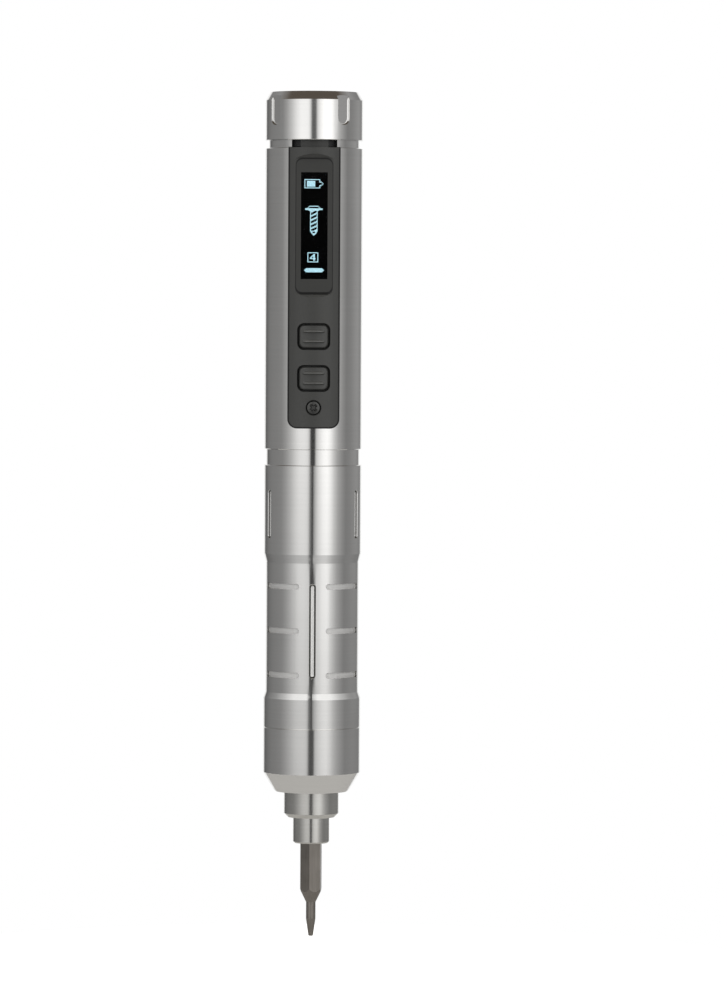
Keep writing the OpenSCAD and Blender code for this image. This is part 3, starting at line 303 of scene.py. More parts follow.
def turned_metal(name, colour, shade, roughness, ring_mm, ring_depth_mm, grain_mm=0.25, milled=()):
    """Metal with a ring-shaped tool mark round Z, a fine grain and a slight change of shade.
    milled lists (low, high, radius) in mm: between those heights, all inside that radius is matt, and a thin
    band just outside it gets painted shade."""
    material, tree = new_tree(name)
    place = add(tree, "ShaderNodeTexCoord")
    flat = add(tree, "ShaderNodeVectorMath", {0: place.outputs["Object"], 1: (1, 1, 0)}, operation="MULTIPLY")
    radius = add(tree, "ShaderNodeVectorMath", {0: flat.outputs[0]}, operation="LENGTH")
    split = add(tree, "ShaderNodeSeparateXYZ", {0: place.outputs["Object"]})
    profile = add(tree, "ShaderNodeCombineXYZ", {0: radius.outputs["Value"], 2: split.outputs["Z"]})
    rings = add(tree, "ShaderNodeTexNoise", {
        "Vector": profile.outputs[0], "Scale": 0.5 / (ring_mm * MM), "Detail": 3.0, "Roughness": 0.6})
    grain = add(tree, "ShaderNodeTexNoise", {
        "Vector": place.outputs["Object"], "Scale": 1 / (grain_mm * MM), "Detail": 4.0, "Roughness": 0.7})
    cloud = add(tree, "ShaderNodeTexNoise", {
        "Vector": place.outputs["Object"], "Scale": METAL_CLOUDS, "Detail": 2.0})
    tone = add(tree, "ShaderNodeMath", {0: rings.outputs["Fac"], 1: cloud.outputs["Fac"]}, operation="ADD")
    share = add(tree, "ShaderNodeMapRange", {
        "Value": tone.outputs[0], "From Min": TONE_LOW, "From Max": TONE_HIGH})
    tint = add(tree, "ShaderNodeMix", {
        0: share.outputs["Result"], 6: linear(shade), 7: linear(colour)}, data_type="RGBA")
    polish = add(tree, "ShaderNodeMapRange", {
        "Value": grain.outputs["Fac"], "To Min": roughness * 0.88, "To Max": roughness * 1.12})
    marks = add(tree, "ShaderNodeBump", {"Height": rings.outputs["Fac"], "Distance": ring_depth_mm * MM})
    pits = add(tree, "ShaderNodeBump", {
        "Height": grain.outputs["Fac"], "Distance": PIT_DEEP, "Normal": marks.outputs[0]})
    rough, bare = polish.outputs["Result"], 1.0
    for low, high, skin in milled:
        above = add(tree, "ShaderNodeMath", {0: split.outputs["Z"], 1: low * MM}, operation="GREATER_THAN")
        below = add(tree, "ShaderNodeMath", {0: split.outputs["Z"], 1: high * MM}, operation="LESS_THAN")
        band = add(tree, "ShaderNodeMath", {0: above.outputs[0], 1: below.outputs[0]}, operation="MULTIPLY")
        inside = add(tree, "ShaderNodeMath", {
            0: radius.outputs["Value"], 1: skin * MM}, operation="LESS_THAN")
        reach = (skin + WALL_MM) * MM
        near = add(tree, "ShaderNodeMath", {0: radius.outputs["Value"], 1: reach}, operation="LESS_THAN")
        outside = add(tree, "ShaderNodeMath", {
            0: near.outputs[0], 1: inside.outputs[0]}, operation="SUBTRACT")
        floors = add(tree, "ShaderNodeMath", {0: band.outputs[0], 1: inside.outputs[0]}, operation="MULTIPLY")
        walls = add(tree, "ShaderNodeMath", {0: outside.outputs[0], 1: band.outputs[0]}, operation="MULTIPLY")
        matt = add(tree, "ShaderNodeMapRange", {
            "Value": grain.outputs["Fac"], "To Min": MATT_LOW, "To Max": MATT_HIGH})
        mixed = add(tree, "ShaderNodeMix", {0: floors.outputs[0], 2: rough, 3: matt.outputs["Result"]})
        rough = mixed.outputs[0]
        # painted shade: the walls just outside a milled floor are mixed towards a dark colour
        tint = add(tree, "ShaderNodeMix", {
            0: walls.outputs[0], 6: tint.outputs[2], 7: linear(PAINTED_WALL_SHADE)}, data_type="RGBA")
        skin_share = add(tree, "ShaderNodeMapRange", {
            "Value": floors.outputs[0], "To Min": 1.0, "To Max": MATT_METAL})
        metal_left = add(tree, "ShaderNodeMath", {
            0: skin_share.outputs["Result"], 1: bare}, operation="MULTIPLY")
        bare = metal_left.outputs[0]
    metal = add(tree, "ShaderNodeBsdfPrincipled", {
        "Base Color": tint.outputs[2], "Metallic": bare, "Roughness": rough, "Normal": pits.outputs[0]})
    add(tree, "ShaderNodeOutputMaterial", {"Surface": metal.outputs[0]})
    return material


MILLED = [(-36.5, -10.7, 9.02), (-8.8, 8.8, 9.46)]  # the slots of the waist and of the barrel
# Turned and clear anodised: pale silver, soft bands of light from top to bottom, faint rings;
# the walls of its milled slots get painted shade.
satin_aluminium = turned_metal(
    "satin_anodised_aluminium", "#e9e8e6", "#e2e1df", 0.11, 0.12, 0.0004, milled=MILLED)
# Turned stainless steel: a little warmer and duller than the aluminium beside it.
turned_steel = turned_metal("turned_stainless_steel", "#d9d8d4", "#cfcdc8", 0.17, 0.10, 0.0006)
# Ground and polished races and balls: cool, with nearly sharp reflections.
ground_steel = turned_metal("ground_bearing_steel", "#d8d9da", "#cfd0d2", 0.10, 0.10, 0.0002)
# Pressed from powder and sintered: dull dark grey with a coarse grain.
gearbox_steel = turned_metal("sintered_gearbox_steel", "#a2a3a5", "#8d8e91", 0.32, 0.20, 0.0010)
# Drawn sheet with thin zinc: mid grey with a broad, calm sheen.
motor_steel = turned_metal("drawn_motor_steel", "#b9bbbd", "#aeb0b3", 0.25, 0.30, 0.0008)
# Brass cut by a hob: yellow with fine tool marks.
gear_brass = turned_metal("hobbed_gear_brass", "#d9b568", "#cda654", 0.24, 0.15, 0.0006)
# Sintered bronze, full of oil: brown, matt and speckled.
bush_bronze = turned_metal("sintered_bush_bronze", "#b58a4c", "#a0763c", 0.38, 0.20, 0.0012)
# Steel blackened in hot salt: dark grey with a weak metal sheen.
black_steel = turned_metal("black_oxide_steel", "#626260", "#525251", 0.36, 0.15, 0.0008)
# Nickel plate on a magnet: warm silver, almost a mirror.
magnet_nickel = turned_metal("plated_magnet_nickel", "#d6d3cb", "#ccc8be", 0.12, 0.20, 0.0003)
print("turned metals:", satin_aluminium.name, "and its relatives")

# %% [markdown]
# ## Tempered bit steel
# Bits are ground from tool steel, hardened and tempered to a warm brownish grey. Grinding runs
# along the hexagon, so the scratches are long in Z and narrow across.

# %% Bit steel
STREAK_CLOUDS = 220.0  # per metre, so a change of shade is about 5 mm across


def drawn_metal(name, colour, shade, roughness, line_mm, depth_mm, stretch=0.04):
    """Metal drawn, ground or rolled along Z: streaks that are long in Z and narrow across."""
    material, tree = new_tree(name)
    place = add(tree, "ShaderNodeTexCoord")
    streak = add(tree, "ShaderNodeMapping", {"Vector": place.outputs["Object"], "Scale": (1, 1, stretch)})
    lines = add(tree, "ShaderNodeTexNoise", {
        "Vector": streak.outputs[0], "Scale": 0.5 / (line_mm * MM), "Detail": 4.0, "Roughness": 0.65})
    cloud = add(tree, "ShaderNodeTexNoise", {
        "Vector": place.outputs["Object"], "Scale": STREAK_CLOUDS, "Detail": 3.0})
    tone = add(tree, "ShaderNodeMath", {0: lines.outputs["Fac"], 1: cloud.outputs["Fac"]}, operation="ADD")
    share = add(tree, "ShaderNodeMapRange", {
        "Value": tone.outputs[0], "From Min": TONE_LOW, "From Max": TONE_HIGH})
    tint = add(tree, "ShaderNodeMix", {
        0: share.outputs["Result"], 6: linear(shade), 7: linear(colour)}, data_type="RGBA")
    polish = add(tree, "ShaderNodeMapRange", {
        "Value": cloud.outputs["Fac"], "To Min": roughness * 0.85, "To Max": roughness * 1.15})
    marks = add(tree, "ShaderNodeBump", {"Height": lines.outputs["Fac"], "Distance": depth_mm * MM})
    metal = add(tree, "ShaderNodeBsdfPrincipled", {
        "Base Color": tint.outputs[2], "Metallic": 1.0, "Roughness": polish.outputs["Result"],
        "Normal": marks.outputs[0]})
    add(tree, "ShaderNodeOutputMaterial", {"Surface": metal.outputs[0]})
    return material


# Ground tool steel, tempered: brownish grey with fine lines along the bit.
bit_steel = drawn_metal("tempered_bit_steel", "#8f8a84", "#7d7872", 0.34, 0.12, 0.0012)
# Rolled nickel strip: straw-coloured silver with lines along it.
nickel_strip = drawn_metal("rolled_nickel_strip", "#cbc6ba", "#bdb7a9", 0.24, 0.15, 0.0006)
# Drawn stainless shell of the charging socket: cool silver, lightly streaked.
socket_shell = drawn_metal("drawn_socket_shell", "#c4c6c8", "#b6b8bb", 0.22, 0.15, 0.0005)
# Stamped steel cover of a tactile switch: pale and plain.
switch_metal = drawn_metal("stamped_switch_metal", "#c9cbcc", "#bcbec0", 0.26, 0.15, 0.0005)
# Stamped copper alloy: salmon pink with a satin sheen.
brush_copper = drawn_metal("stamped_brush_copper", "#c98a5c", "#b8774a", 0.28, 0.15, 0.0006)
# Stacked core sheets: grey, with the edge of every sheet as a fine line.
laminations = turned_metal("stacked_core_laminations", "#8f9296", "#6d7074", 0.35, 0.35, 0.0060)
# Enamelled copper wire, wound: dark orange ridges, glossy on their crests.
windings = turned_metal("enamelled_copper_wire", "#b4602c", "#7f3d17", 0.30, 0.25, 0.0500)
print("bit steel and the drawn metals are ready")

# %% [markdown]
# ## Moulded plastics
# The panel and the buttons are ABS with a fine spark-eroded texture, which spreads the highlight
# into a soft satin. The grain of such a tool is about 0.1 mm, drawn at 0.15 mm here.

# %% Plastics and rubber
PLASTIC_CLOUDS = 120.0  # per metre, so a change of shade is about 8 mm across


def moulded(name, colour, shade, roughness, grain_mm, depth_mm, ior=1.5):
    """Moulded plastic or rubber with an eroded grain and faint clouds in its colour."""
    material, tree = new_tree(name)
    place = add(tree, "ShaderNodeTexCoord")
    grain = add(tree, "ShaderNodeTexNoise", {
        "Vector": place.outputs["Object"], "Scale": 1 / (grain_mm * MM), "Detail": 3.0, "Roughness": 0.6})
    cloud = add(tree, "ShaderNodeTexNoise", {
        "Vector": place.outputs["Object"], "Scale": PLASTIC_CLOUDS, "Detail": 3.0})
    tint = add(tree, "ShaderNodeMix", {
        0: cloud.outputs["Fac"], 6: linear(shade), 7: linear(colour)}, data_type="RGBA")
    polish = add(tree, "ShaderNodeMapRange", {
        "Value": grain.outputs["Fac"], "To Min": roughness * 0.9, "To Max": roughness * 1.1})
    marks = add(tree, "ShaderNodeBump", {"Height": grain.outputs["Fac"], "Distance": depth_mm * MM})
    plastic = add(tree, "ShaderNodeBsdfPrincipled", {
        "Base Color": tint.outputs[2], "Roughness": polish.outputs["Result"], "IOR": ior,
        "Normal": marks.outputs[0]})
    add(tree, "ShaderNodeOutputMaterial", {"Surface": plastic.outputs[0]})
    return material


# Spark-eroded black ABS: charcoal with a broad, weak highlight.
panel_abs = moulded("moulded_panel_abs", "#3b3b39", "#363634", 0.42, 0.15, 0.0030)
# The same plastic, a shade lighter and smoother from use.
button_abs = moulded("moulded_button_abs", "#3d3d3b", "#383836", 0.34, 0.15, 0.0025)
# Rib crests rubbed smooth by the thumb, so they mirror more; their lighter colour is a painted highlight.
smooth_abs_painted_highlight = moulded("rubbed_rib_abs_painted_highlight", "#5c5c5a", "#545452", 0.20, 0.15, 0.0010)
# Glass-filled nylon: black and matt.
black_nylon = moulded("moulded_black_nylon", "#262627", "#202021", 0.50, 0.20, 0.0040)
# Painted shadow for narrow gaps: almost black, without a highlight.
gap_shadow_black = moulded("painted_gap_shadow_black", "#0c0c0c", "#080808", 0.60, 0.20, 0.0020)
# Moulded nylon round the charging port: near black with a dull shine.
port_nylon = moulded("moulded_port_nylon", "#1d1d1e", "#18181a", 0.45, 0.20, 0.0030)
# Natural nylon of the motor cap: ivory and soft.
white_nylon = moulded("moulded_white_nylon", "#e4dfd2", "#dad4c4", 0.45, 0.20, 0.0030)
# Moulded rubber: dark grey, almost without a highlight.
gasket_rubber = moulded("moulded_gasket_rubber", "#2b2b2b", "#242424", 0.65, 0.20, 0.0040)
# Extruded cover of a lead: plain red with a soft gloss.
lead_cover = moulded("extruded_lead_cover", "#a12626", "#8f1f1f", 0.40, 0.30, 0.0020)
# Moulding compound of a chip: black with fine pits.
chip_epoxy = moulded("moulded_chip_epoxy", "#232324", "#1c1c1d", 0.55, 0.15, 0.0030)
# Shrunk film on the cell: blue with a clear gloss.
cell_sleeve = moulded("shrunk_cell_sleeve", "#2d55a8", "#284b96", 0.25, 0.60, 0.0040)
# Sintered ferrite: dark grey and stony.
ferrite = moulded("sintered_ferrite", "#4a4a4e", "#3c3c40", 0.55, 0.20, 0.0050)
# Solder lacquer on the boards: green with a wet gloss.
board_lacquer = moulded("green_board_lacquer", "#1f6a3a", "#1a5a31", 0.30, 0.80, 0.0060)
print("plastics:", panel_abs.name, "and its relatives")

# %% [markdown]
# ## Window and display
# The window is smoked acrylic, polished, with the display right behind it. Light is tinted once
# on each face of the window, so the tint itself is weak. The display's own face is nearly black
# and is bonded to the window, so that it has no shine of its own. Its dots are lit pieces.

# %% Window and display
WINDOW_CLOUDS, DOT_CLOUDS = 300.0, 900.0  # per metre: about 3 mm across in the window, 1 mm in the dots


def smoked_window():
    """Smoked acrylic, cast and polished: clear, a touch dark, with a sharp but weak highlight."""
    material, tree = new_tree("smoked_acrylic_window")
    place = add(tree, "ShaderNodeTexCoord")
    cloud = add(tree, "ShaderNodeTexNoise", {"Vector": place.outputs["Object"], "Scale": WINDOW_CLOUDS})
    tint = add(tree, "ShaderNodeMix", {
        0: cloud.outputs["Fac"], 6: linear("#d6d8d8"), 7: linear("#dcdede")}, data_type="RGBA")
    glass = add(tree, "ShaderNodeBsdfPrincipled", {
        "Base Color": tint.outputs[2], "Roughness": 0.03, "IOR": 1.49, "Specular IOR Level": 0.1,
        "Transmission Weight": 1.0})
    add(tree, "ShaderNodeOutputMaterial", {"Surface": glass.outputs[0]})
    return material


window_acrylic = smoked_window()
# The display's face, bonded to the window: black, with no gloss of its own.
display_face = moulded("bonded_display_face", "#060607", "#040405", 0.50, 0.30, 0.0002, ior=1.02)


def lit_dots():
    """Organic light-emitting dots: they glow in a cold, pale blue."""
    material, tree = new_tree("lit_display_dots")
    place = add(tree, "ShaderNodeTexCoord")
    cloud = add(tree, "ShaderNodeTexNoise", {"Vector": place.outputs["Object"], "Scale": DOT_CLOUDS})
    tint = add(tree, "ShaderNodeMix", {
        0: cloud.outputs["Fac"], 6: linear("#b4e6f8"), 7: linear("#ccf4ff")}, data_type="RGBA")
    light = add(tree, "ShaderNodeBsdfPrincipled", {
        "Base Color": linear("#101214"), "Roughness": 0.4, "Emission Color": tint.outputs[2],
        "Emission Strength": 2.0})
    add(tree, "ShaderNodeOutputMaterial", {"Surface": light.outputs[0]})
    return material


display_dots = lit_dots()
print("window and display are ready")

# %% [markdown]
# ## Dressing the solids
# Each solid already names its finish in the record, so a table from slot to material dresses
# them all, and nothing is left in a plain colour.

# %% Materials of the solids
FINISH = {
    "satin_aluminium": satin_aluminium, "turned_steel": turned_steel, "panel_plastic": panel_abs,
    "button_plastic": button_abs, "window_glass": window_acrylic, "display_black": display_face,
    "black_screw_steel": black_steel, "board_green": board_lacquer, "chip_black": chip_epoxy,
    "switch_metal": switch_metal, "cell_wrap": cell_sleeve, "nickel_strip": nickel_strip,
    "cradle_plastic": black_nylon, "port_plastic": port_nylon, "socket_shell": socket_shell,
    "motor_steel": motor_steel, "ferrite_magnet": ferrite, "sintered_bronze": bush_bronze,
    "end_cap_plastic": white_nylon, "brush_copper": brush_copper, "lead_insulation": lead_cover,
    "gearbox_steel": gearbox_steel, "bearing_steel": ground_steel, "cage_brass": gear_brass,
    "gasket_rubber": gasket_rubber, "lamination_steel": laminations, "winding_copper": windings,
    "gear_brass": gear_brass, "magnet_nickel": magnet_nickel, "bit_steel": bit_steel,
}
for row in frame["record"]["subparts"]:
    mesh = frame["nodes"][row["node"]].data
    mesh.materials.clear()
    mesh.materials.append(FINISH[row["material_slot"]])

# %% [markdown]
# ## The display's dots
# A small display is a grid of square dots, here 32 wide and 128 high. What it shows is built as
# the real one does it: each lit dot is a tiny block of its own, and each sign is a set of dots
# that a rule switches on. That keeps the signs crisp at any distance.

# %% A grid of dots
screen_low, screen_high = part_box("oled_display")
glass_low, glass_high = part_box("display_window")
DOTS_WIDE, DOTS_HIGH = 32, 128
PITCH, DOT_EDGE, DOT_DEEP = 0.165 * MM, 0.014 * MM, 0.03 * MM
lit = set()


def block(x0, z0, x1, z1):
    """The dots of a filled rectangle, both ends included."""
    return {(x, z) for x in range(x0, x1 + 1) for z in range(z0, z1 + 1)}


def outline(x0, z0, x1, z1):
    """The dots of a rectangle's border, one dot wide."""
    return block(x0, z0, x1, z1) - block(x0 + 1, z0 + 1, x1 - 1, z1 - 1)


print("the grid is", round(DOTS_WIDE * PITCH / MM, 2), "x", round(DOTS_HIGH * PITCH / MM, 2), "mm")

# %% Battery, torque step and bar
lit |= outline(4, 109, 22, 119) | block(7, 111, 16, 117)
lit -= block(22, 113, 22, 115)
lit |= block(23, 116, 24, 116) | block(23, 112, 24, 112) | {(25, 115), (25, 113), (26, 114)}
lit |= outline(8, 20, 20, 31)
lit |= block(15, 22, 16, 29) | block(11, 24, 17, 24)
lit |= {(11 + i, 25 + i) for i in range(5)} | {(12 + i, 25 + i) for i in range(4)}
lit |= block(6, 8, 25, 12) | block(5, 9, 26, 11) | block(4, 10, 27, 10)
print(len(lit), "dots make the battery, the torque step and the bar")

# %% The screw sign
lit |= block(10, 87, 20, 87) | {(9, 86), (21, 86), (8, 85), (22, 85)} | block(5, 83, 25, 84)
lit |= block(9, 82, 21, 82) | block(11, 58, 11, 81) | block(19, 58, 19, 81)
lit |= {(x, z) for x in range(12, 19) for z in range(58, 82) if (z - (x - 12) // 2) % 5 < 2}
lit |= block(11, 57, 19, 57) | block(12, 56, 13, 56) | block(17, 56, 18, 56) | block(12, 55, 13, 55)
lit |= block(17, 55, 18, 55) | block(13, 54, 17, 54) | block(14, 53, 16, 53) | {(15, 52)}
print(len(lit), "dots are lit of", DOTS_WIDE * DOTS_HIGH)

# %% Build the dots
def boxes_mesh(name, boxes):
    """One mesh of closed boxes, each given by its low and high corner."""
    points, faces = [], []
    for low, high in boxes:
        first = len(points)
        points += [(x, y, z) for z in (low[2], high[2]) for y in (low[1], high[1]) for x in (low[0], high[0])]
        faces += [tuple(first + i for i in face) for face in
                  ((0, 2, 3, 1), (4, 5, 7, 6), (0, 1, 5, 4), (2, 6, 7, 3), (0, 4, 6, 2), (1, 3, 7, 5))]
    mesh = bpy.data.meshes.new(name)
    mesh.from_pydata(points, [], faces)
    mesh.update()
    piece = bpy.data.objects.new(name, mesh)
    bpy.context.scene.collection.objects.link(piece)
    return piece


screen_mid = (screen_low + screen_high) / 2
face_y = screen_low.y - 0.005 * MM  # a hair in front of the display's face
dot_boxes = []
for x, z in sorted(lit):
    west = screen_mid.x + (x - DOTS_WIDE / 2) * PITCH
    south = screen_mid.z + (z - DOTS_HIGH / 2) * PITCH
    dot_boxes.append(((west + DOT_EDGE, face_y - DOT_DEEP, south + DOT_EDGE),
                      (west + PITCH - DOT_EDGE, face_y, south + PITCH - DOT_EDGE)))
dots = boxes_mesh("display_dots", dot_boxes)
dots.data.materials.append(display_dots)
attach(dots, "casing")
print("dots between y", round(face_y / MM, 3), "and the glass at", round(glass_high.y / MM, 3))

# %% [markdown]
# ## The mask on the window
# A display module is bigger than its lit area, so a dark grey film with a sharp opening is laid
# on the window. It is a thin plate here, let into the window's face.

# %% Outlines and plates
def round_rectangle(width, height, corner, per_corner=10):
    """Points round a rectangle with round corners about the origin, as (x, z), anticlockwise."""
    half_w, half_h = width / 2 - corner, height / 2 - corner
    points = []
    for quarter, (sx, sz) in enumerate(((1, 1), (-1, 1), (-1, -1), (1, -1))):
        for step in range(per_corner + 1):
            turn = math.radians(90 * quarter + 90 * step / per_corner)
            points.append((sx * half_w + corner * math.cos(turn), sz * half_h + corner * math.sin(turn)))
    return points


def spread(points, step):
    """The same closed outline with no edge longer than step."""
    dense = []
    for (x0, z0), (x1, z1) in zip(points, points[1:] + points[:1]):
        parts = max(1, math.ceil(math.hypot(x1 - x0, z1 - z0) / step))
        dense += [(x0 + (x1 - x0) * i / parts, z0 + (z1 - z0) * i / parts) for i in range(parts)]
    return dense


def loft(name, rings, closed=True):
    """A mesh through rings of equally many points. Its ends are capped, or it closes on itself."""
    count = len(rings[0])
    points = [point for ring in rings for point in ring]
    pairs = list(zip(range(len(rings)), range(1, len(rings)))) + ([(len(rings) - 1, 0)] if closed else [])
    faces = [(a * count + i, a * count + (i + 1) % count, b * count + (i + 1) % count, b * count + i)
             for a, b in pairs for i in range(count)]
    if not closed:
        faces += [tuple(range(count))[::-1], tuple((len(rings) - 1) * count + i for i in range(count))]
    mesh = bpy.data.meshes.new(name)
    mesh.from_pydata(points, [], faces)
    work = bmesh.new()
    work.from_mesh(mesh)
    bmesh.ops.recalc_face_normals(work, faces=work.faces)
    work.to_mesh(mesh)
    work.free()
    piece = bpy.data.objects.new(name, mesh)
    bpy.context.scene.collection.objects.link(piece)
    return piece


def finish_piece(piece, material, body):
    """Gives a piece its material and its body."""
    piece.data.materials.append(material)
    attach(piece, body)


print("a round corner has", len(round_rectangle(1, 1, 0.1)) // 4, "points")

# %% Window mask
# Dark film laminated on the window: charcoal like the panel, a little glossier.
mask_film = moulded("laminated_mask_film", "#343432", "#30302e", 0.36, 0.20, 0.0010)
glass_mid = (glass_low + glass_high) / 2
OPENING_W, OPENING_H, OPENING_CORNER = 5.30 * MM, 21.2 * MM, 0.06 * MM
FILM_W, FILM_H, FILM_CORNER = 7.30 * MM, 26.5 * MM, 1.30 * MM
mask_outer = round_rectangle(FILM_W, FILM_H, FILM_CORNER)
mask_inner = round_rectangle(OPENING_W, OPENING_H, OPENING_CORNER)
mask_near, mask_far = glass_low.y - 0.02 * MM, glass_low.y + 0.05 * MM


def at_window(shape, y):
    """An outline laid on the window at the depth y."""
    return [(glass_mid.x + x, y, glass_mid.z + z) for x, z in shape]


mask = loft("window_mask", [at_window(mask_outer, mask_near), at_window(mask_inner, mask_near),
                            at_window(mask_inner, mask_far), at_window(mask_outer, mask_far)])
finish_piece(mask, mask_film, "casing")
print("mask opening", round(OPENING_W / MM, 2), "x", round(OPENING_H / MM, 2), "mm")

# %% [markdown]
# ## The painted shadow round the window
# The film ends a little short of the recess's wall, and a black strip of painted shadow fills
# the joint. It is a hair wide along both sides and wider at the two ends, where it climbs the
# sloping walls as their painted shade.

# %% Painted shadow round the window
SHADOW_SIDE, SHADOW_TOP, SHADOW_END, UNDER_FILM = 0.07 * MM, 0.22 * MM, 0.42 * MM, 0.10 * MM
SHADOW_FRONT, SHADOW_BACK = 0.03 * MM, -0.06 * MM  # in front of the window's face and behind it
WALL_FOOT, WALL_RUN = 13.3 * MM, 1.25  # where a sloping wall starts, and its length for each step out
shadow_inner = round_rectangle(FILM_W - UNDER_FILM, FILM_H - UNDER_FILM, FILM_CORNER)
shadow_outer = [(x, z + math.copysign(SHADOW_TOP if z > 0 else SHADOW_END, z))
              for x, z in round_rectangle(FILM_W + 2 * SHADOW_SIDE, FILM_H, FILM_CORNER + SHADOW_SIDE)]


def shadow_ring(shape, lift):
    """An outline at the window's face, lifted, and following the walls at its two ends."""
    return [(glass_mid.x + x, glass_low.y - lift - max(0, abs(z) - WALL_FOOT) / WALL_RUN, glass_mid.z + z)
            for x, z in shape]


# painted shadow: a black strip in the joint and on the sloping walls at the two ends
window_shadow = loft("window_painted_shadow", [shadow_ring(shadow_outer, SHADOW_FRONT), shadow_ring(shadow_inner, SHADOW_FRONT),
                            shadow_ring(shadow_inner, SHADOW_BACK), shadow_ring(shadow_outer, SHADOW_BACK)])
finish_piece(window_shadow, gap_shadow_black, "casing")
print("window_shadow", round(SHADOW_END / MM, 2), "mm wide at the lower end")

# %% [markdown]
# ## Buttons with soft edges and ribs
# Each button is one moulding: a crowned cap with a rolled edge and two raised ribs, which the
# thumb finds without looking. A solid with sharp edges shows none of that softness, so a finer
# moulding stands in for each. It is a stack of ring-shaped contours of the cap, each at the depth
# that the crown, the rolled edge and the ribs give its points, and it ends in the flange and the
# stem behind the panel. Thumbs rub the crests of the ribs smooth, so a strip of shinier plastic
# follows the upper slope of each rib and stands a hundredth of a millimetre proud of it. The
# strip's lighter colour is a painted highlight.

# %% Relief of a cap
def relief(name, contour, insets, depth, tail_rings):
    """A closed moulding: contours from the middle out to the edge, then the rings behind it.
    contour(inset) gives points (x, z); depth(x, z, inset) gives y for each of them."""
    rings = [[(x, depth(x, z, inset), z) for x, z in contour(inset)] for inset in insets]
    return loft(name, rings + tail_rings, closed=False)


BUTTON_CORNER, BUTTON_ROLL, BUTTON_CROWN_R = 1.0 * MM, 0.34 * MM, 9.46 * MM
ROLL_ANGLES, CROWN_STEPS, OUTLINE_STEP = (0, 20, 36, 50, 62, 74, 90), 34, 0.12 * MM
RIB_LONG, RIB_RISE, RIB_PITCH, RIB_END = 4.5 * MM, 0.24 * MM, 2.0 * MM, 0.5 * MM
RIB_ABOVE, RIB_CREST, RIB_BELOW = 0.56 * MM, 0.06 * MM, 0.26 * MM
CREST_LONG, CREST_LOW, CREST_HIGH, CREST_SKIN = 4.1 * MM, -0.02 * MM, 0.17 * MM, 0.01 * MM
CREST_STEPS, CREST_ROOT = 48, 0.1 * MM
FLANGE, FLANGE_AT, FLANGE_THICK, STEM_R = 0.7 * MM, 2.55 * MM, 0.6 * MM, 1.0 * MM
MIDDLE_LEFT = 0.01 * MM  # half height of the innermost contour
SMOOTH_AHEAD = 1.0 * MM  # the cap is shaded smooth from this far in front of its flange


def rib_height(x, z):
    """Height of the two ribs over the crown: each climbs slowly from above and drops steeply below."""
    rise = 0.0
    for middle in (-RIB_PITCH / 2, RIB_PITCH / 2):
        up = z - middle
        above = (RIB_ABOVE - up) / (RIB_ABOVE + RIB_CREST)
        below = 1 + (up + RIB_CREST) / RIB_BELOW
        share = above if up > -RIB_CREST else below
        end = min(1.0, max(0.0, (RIB_LONG / 2 - abs(x)) / RIB_END))
        share = min(1.0, max(0.0, share)) * end
        rise = max(rise, RIB_RISE * share * share * (3 - 2 * share))
    return rise


def button_piece(node):
    """The moulding that stands for a button node. Its own box gives the place and the size."""
    low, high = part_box(node)
    mid = (low + high) / 2
    width, height = high.x - low.x - 2 * FLANGE, high.z - low.z - 2 * FLANGE
    flange_y = low.y + FLANGE_AT

    def depth(x, z, inset):
        crown = -math.sqrt(BUTTON_CROWN_R ** 2 - x * x)
        roll = BUTTON_ROLL - math.sqrt(max(BUTTON_ROLL ** 2 - max(BUTTON_ROLL - inset, 0) ** 2, 0))
        return crown + roll - rib_height(x, z)

    def contour(inset):
        edge = spread(round_rectangle(width, height, BUTTON_CORNER, 8), OUTLINE_STEP)
        scale_x, scale_z = 1 - 2 * inset / width, 1 - 2 * inset / height
        return [(x * scale_x, z * scale_z) for x, z in edge]

    edge_steps = [BUTTON_ROLL * (1 - math.cos(math.radians(a))) for a in ROLL_ANGLES]
    crown_run = height / 2 - MIDDLE_LEFT - BUTTON_ROLL
    inner_steps = [BUTTON_ROLL + crown_run * i / CROWN_STEPS for i in range(1, CROWN_STEPS + 1)]
    insets = sorted(set(edge_steps + inner_steps), reverse=True)
    outer = contour(0.0)
    wide = [(x * (1 + 2 * FLANGE / width), z * (1 + 2 * FLANGE / height)) for x, z in outer]
    stem = [(STEM_R * x / math.hypot(x, z), STEM_R * z / math.hypot(x, z)) for x, z in outer]
    back_y = flange_y + FLANGE_THICK
    tails = (outer, flange_y), (wide, flange_y), (wide, back_y), (stem, back_y), (stem, high.y)
    piece = relief(node + "_moulding", contour, insets, depth,
                   [[(x, y, z) for x, z in ring] for ring, y in tails])
    piece.data.transform(Matrix.Translation((mid.x, 0, mid.z)))
    for face in piece.data.polygons:
        face.use_smooth = face.center.y < flange_y - SMOOTH_AHEAD
    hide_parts(node)
    finish_piece(piece, button_abs, node)


def rib_crest(name, node, middle):
    """The rubbed strip on one rib's crest: a skin on the rib's upper slope, lighter as a painted highlight.
    """
    low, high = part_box(node)
    mid = (low + high) / 2
    strip_low, strip_high = middle + CREST_LOW, middle + CREST_HIGH
    rings = []
    for step in range(CREST_STEPS + 1):
        x = CREST_LONG * (step / CREST_STEPS - 0.5)
        crown = math.sqrt(BUTTON_CROWN_R ** 2 - x * x)
        front = [(z, -crown - rib_height(x, z) - CREST_SKIN) for z in (strip_low, strip_high)]
        back = [(z, -crown + CREST_ROOT) for z in (strip_high, strip_low)]
        rings.append([(mid.x + x, y, mid.z + z) for z, y in front + back])
    # painted highlight: the strip's lighter colour stands for light on the rib's upper slope
    finish_piece(loft(name, rings, closed=False), smooth_abs_painted_highlight, node)


